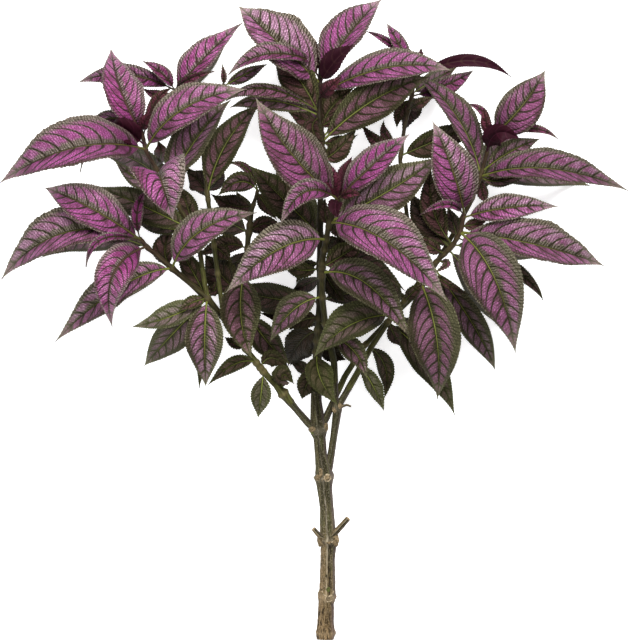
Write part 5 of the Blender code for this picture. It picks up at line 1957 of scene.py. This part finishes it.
# %% Leaves and stems of every shoot
# How old a shoot's stem is where it starts and where it ends, and how much painted shade it gets.
STEM_AGES = {
    "front_shoot": (0.7, 0.4), "top_shoot": (0.8, 0.2), "right_back_shoot": (0.6, 0.2),
    "right_upper_shoot": (0.9, 0.2), "right_lower_shoot": (0.9, 0.2),
    "left_lower_shoot": (0.9, 0.2), "left_upper_shoot": (0.6, 0.15),
    "left_back_shoot": (0.7, 0.25), "left_inner_shoot": (0.7, 0.4),
}
STEM_SHADES = {
    "front_shoot": 0.5, "top_shoot": 0.75, "left_inner_shoot": 0.4, "right_back_shoot": 0.4,
}
USUAL_SHADE = 0.15


def stand_for(obj, node, slot, *materials):
    """Finishes a piece: gives it its materials, hangs it on the root and hides the frame's node
    that it replaces.
    """
    for material in materials:
        obj.data.materials.append(material)
    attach(obj, "root")
    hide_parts(node)
    return obj


def leaf_piece(shoot, own):
    """All blades of a shoot."""
    bm = unit_blades(own, HOODS.get(shoot, []))
    piece = placed(shoot + "_leaves", bm, shape_blades(own, AGES[shoot]))
    return stand_for(piece, shoot, "foliage", upper_paint, lower_paint)


def stalk_piece(shoot, own):
    """The stalk and midrib of every blade of a shoot."""
    tubes = [stalk_tube(leaf, look) for leaf, look in zip(own, AGES[shoot])]
    bm = unit_tubes([(STALK_RINGS, STALK_SIDES)] * len(own))
    piece = placed(shoot + "_stalks", bm, shape_tubes(tubes))
    return stand_for(piece, shoot, "foliage", stalk_paint)


def stem_piece(shoot, own):
    """The stems of a shoot, with the stubs that it carries for others."""
    bases = [to_model_mm(leaf.base) for leaf in own]
    first, last = STEM_AGES[shoot]
    paths = [(path, (first, last)) for path in own_paths(shoot)]
    paths += [(path, (first, first)) for path in stubs_on(shoot)]
    shade = STEM_SHADES.get(shoot, USUAL_SHADE)
    tubes = [stem_tube(path, bases, ages, shade) for path, ages in paths]
    bm = unit_tubes([(len(tube["along"]) - 1, STEM_SIDES) for tube in tubes])
    piece = placed(shoot + "_stems", bm, shape_tubes(tubes, four_sided))
    return stand_for(piece, shoot, "foliage", stem_paint)


def triangles(obj):
    return sum(len(face.vertices) - 2 for face in obj.data.polygons)


total = 0
for shoot in LEAVES:
    own = [leaf for leaf in leaves if leaf.shoot == shoot]
    pieces = [leaf_piece(shoot, own), stalk_piece(shoot, own), stem_piece(shoot, own)]
    counts = [triangles(piece) for piece in pieces]
    total += sum(counts)
    print(f"{shoot}: {len(own)} leaves, {counts} triangles")
trunk_pieces = (bark, scars, rims, buds, cuts)
trunk_paints = (trunk_paint, scar_paint, rim_paint, bud_paint, cut_paint)
for piece, paint in zip(trunk_pieces, trunk_paints):
    stand_for(piece, "main_stem", "bark", paint)
    total += triangles(piece)
print("triangles in all:", total)

# %% [markdown]
# ## Floor, light and camera
#
# The plant lies on a plain pale floor that glows faintly, like a light table, so shadows on it stay
# light. One flat face does for it, wide enough that the view from above never shows its edge.

# %% Stage
FLOOR_SIZE = 12
FLOOR_COLOUR = tint(252, 252, 252)
FLOOR_GLOW = 0.55

bm = bmesh.new()
bmesh.ops.create_grid(bm, x_segments=1, y_segments=1, size=FLOOR_SIZE / 2)
floor = linked("floor", mesh_from("floor", bm))
floor_paint = Finish("floor_paint", roughness=0.9, specular=0.1)
floor_paint.set(floor_paint.shader.inputs["Base Color"], FLOOR_COLOUR)
floor_paint.set(floor_paint.shader.inputs["Emission Color"], FLOOR_COLOUR)
floor_paint.set(floor_paint.shader.inputs["Emission Strength"], FLOOR_GLOW)
floor.data.materials.append(floor_paint.material)
print("the floor is", FLOOR_SIZE, "m wide")

# %% [markdown]
# A broad soft light stands over the plant, towards the crown and a little to the right, and a
# weaker one fills in from the other side. A faint even sky keeps the deepest shadows open.

# %% Lights
# Each light: its place, what it points at, its width in metres and its power in watts.
LIGHTS = {
    "key": ((0.5, 1.3, 2.3), (0, 0.05, 0.1), 1.5, 124),
    "fill": ((-1.4, -0.6, 2.6), (0, 0, 0.1), 2.4, 50),
}
SKY_COLOUR = (1, 1, 1, 1)
SKY_STRENGTH = 0.3


def soft_light(name, place, aim, size, watts):
    light = bpy.data.lights.new(name, "AREA")
    light.shape, light.size, light.energy = "DISK", size, watts
    obj = linked(name, light)
    obj.location = place
    obj.rotation_euler = (Vector(aim) - Vector(place)).to_track_quat("-Z", "Y").to_euler()


for name, settings in LIGHTS.items():
    soft_light(name, *settings)
world = bpy.data.worlds.new("studio")
world.use_nodes = True
sky = world.node_tree.nodes["Background"]
sky.inputs["Color"].default_value = SKY_COLOUR
sky.inputs["Strength"].default_value = SKY_STRENGTH
bpy.context.scene.world = world
bpy.context.scene.view_settings.view_transform = "Standard"
print("lights:", list(LIGHTS))

# %% [markdown]
# The camera looks straight down from far away through a long lens, so leaves high off the floor
# stay over their places, as on the drawing sheet.

# %% Camera
SHEET_MIDDLE = (315.0, 320.0)
SHEET_LENGTH = 0.64
CAMERA_AWAY = 24.0
LEAF_LEVEL = 0.06
SENSOR = 36.0
VIEW_DEPTH = 100

camera = linked("camera", bpy.data.cameras.new("camera"))
camera.data.sensor_width = SENSOR
camera.data.lens = SENSOR * CAMERA_AWAY / SHEET_LENGTH
camera.data.clip_end = VIEW_DEPTH
middle = to_model((*SHEET_MIDDLE, 0))
camera.location = (middle[0], middle[1], LEAF_LEVEL + CAMERA_AWAY)
bpy.context.scene.camera = camera
print("lens:", camera.data.lens, "mm")
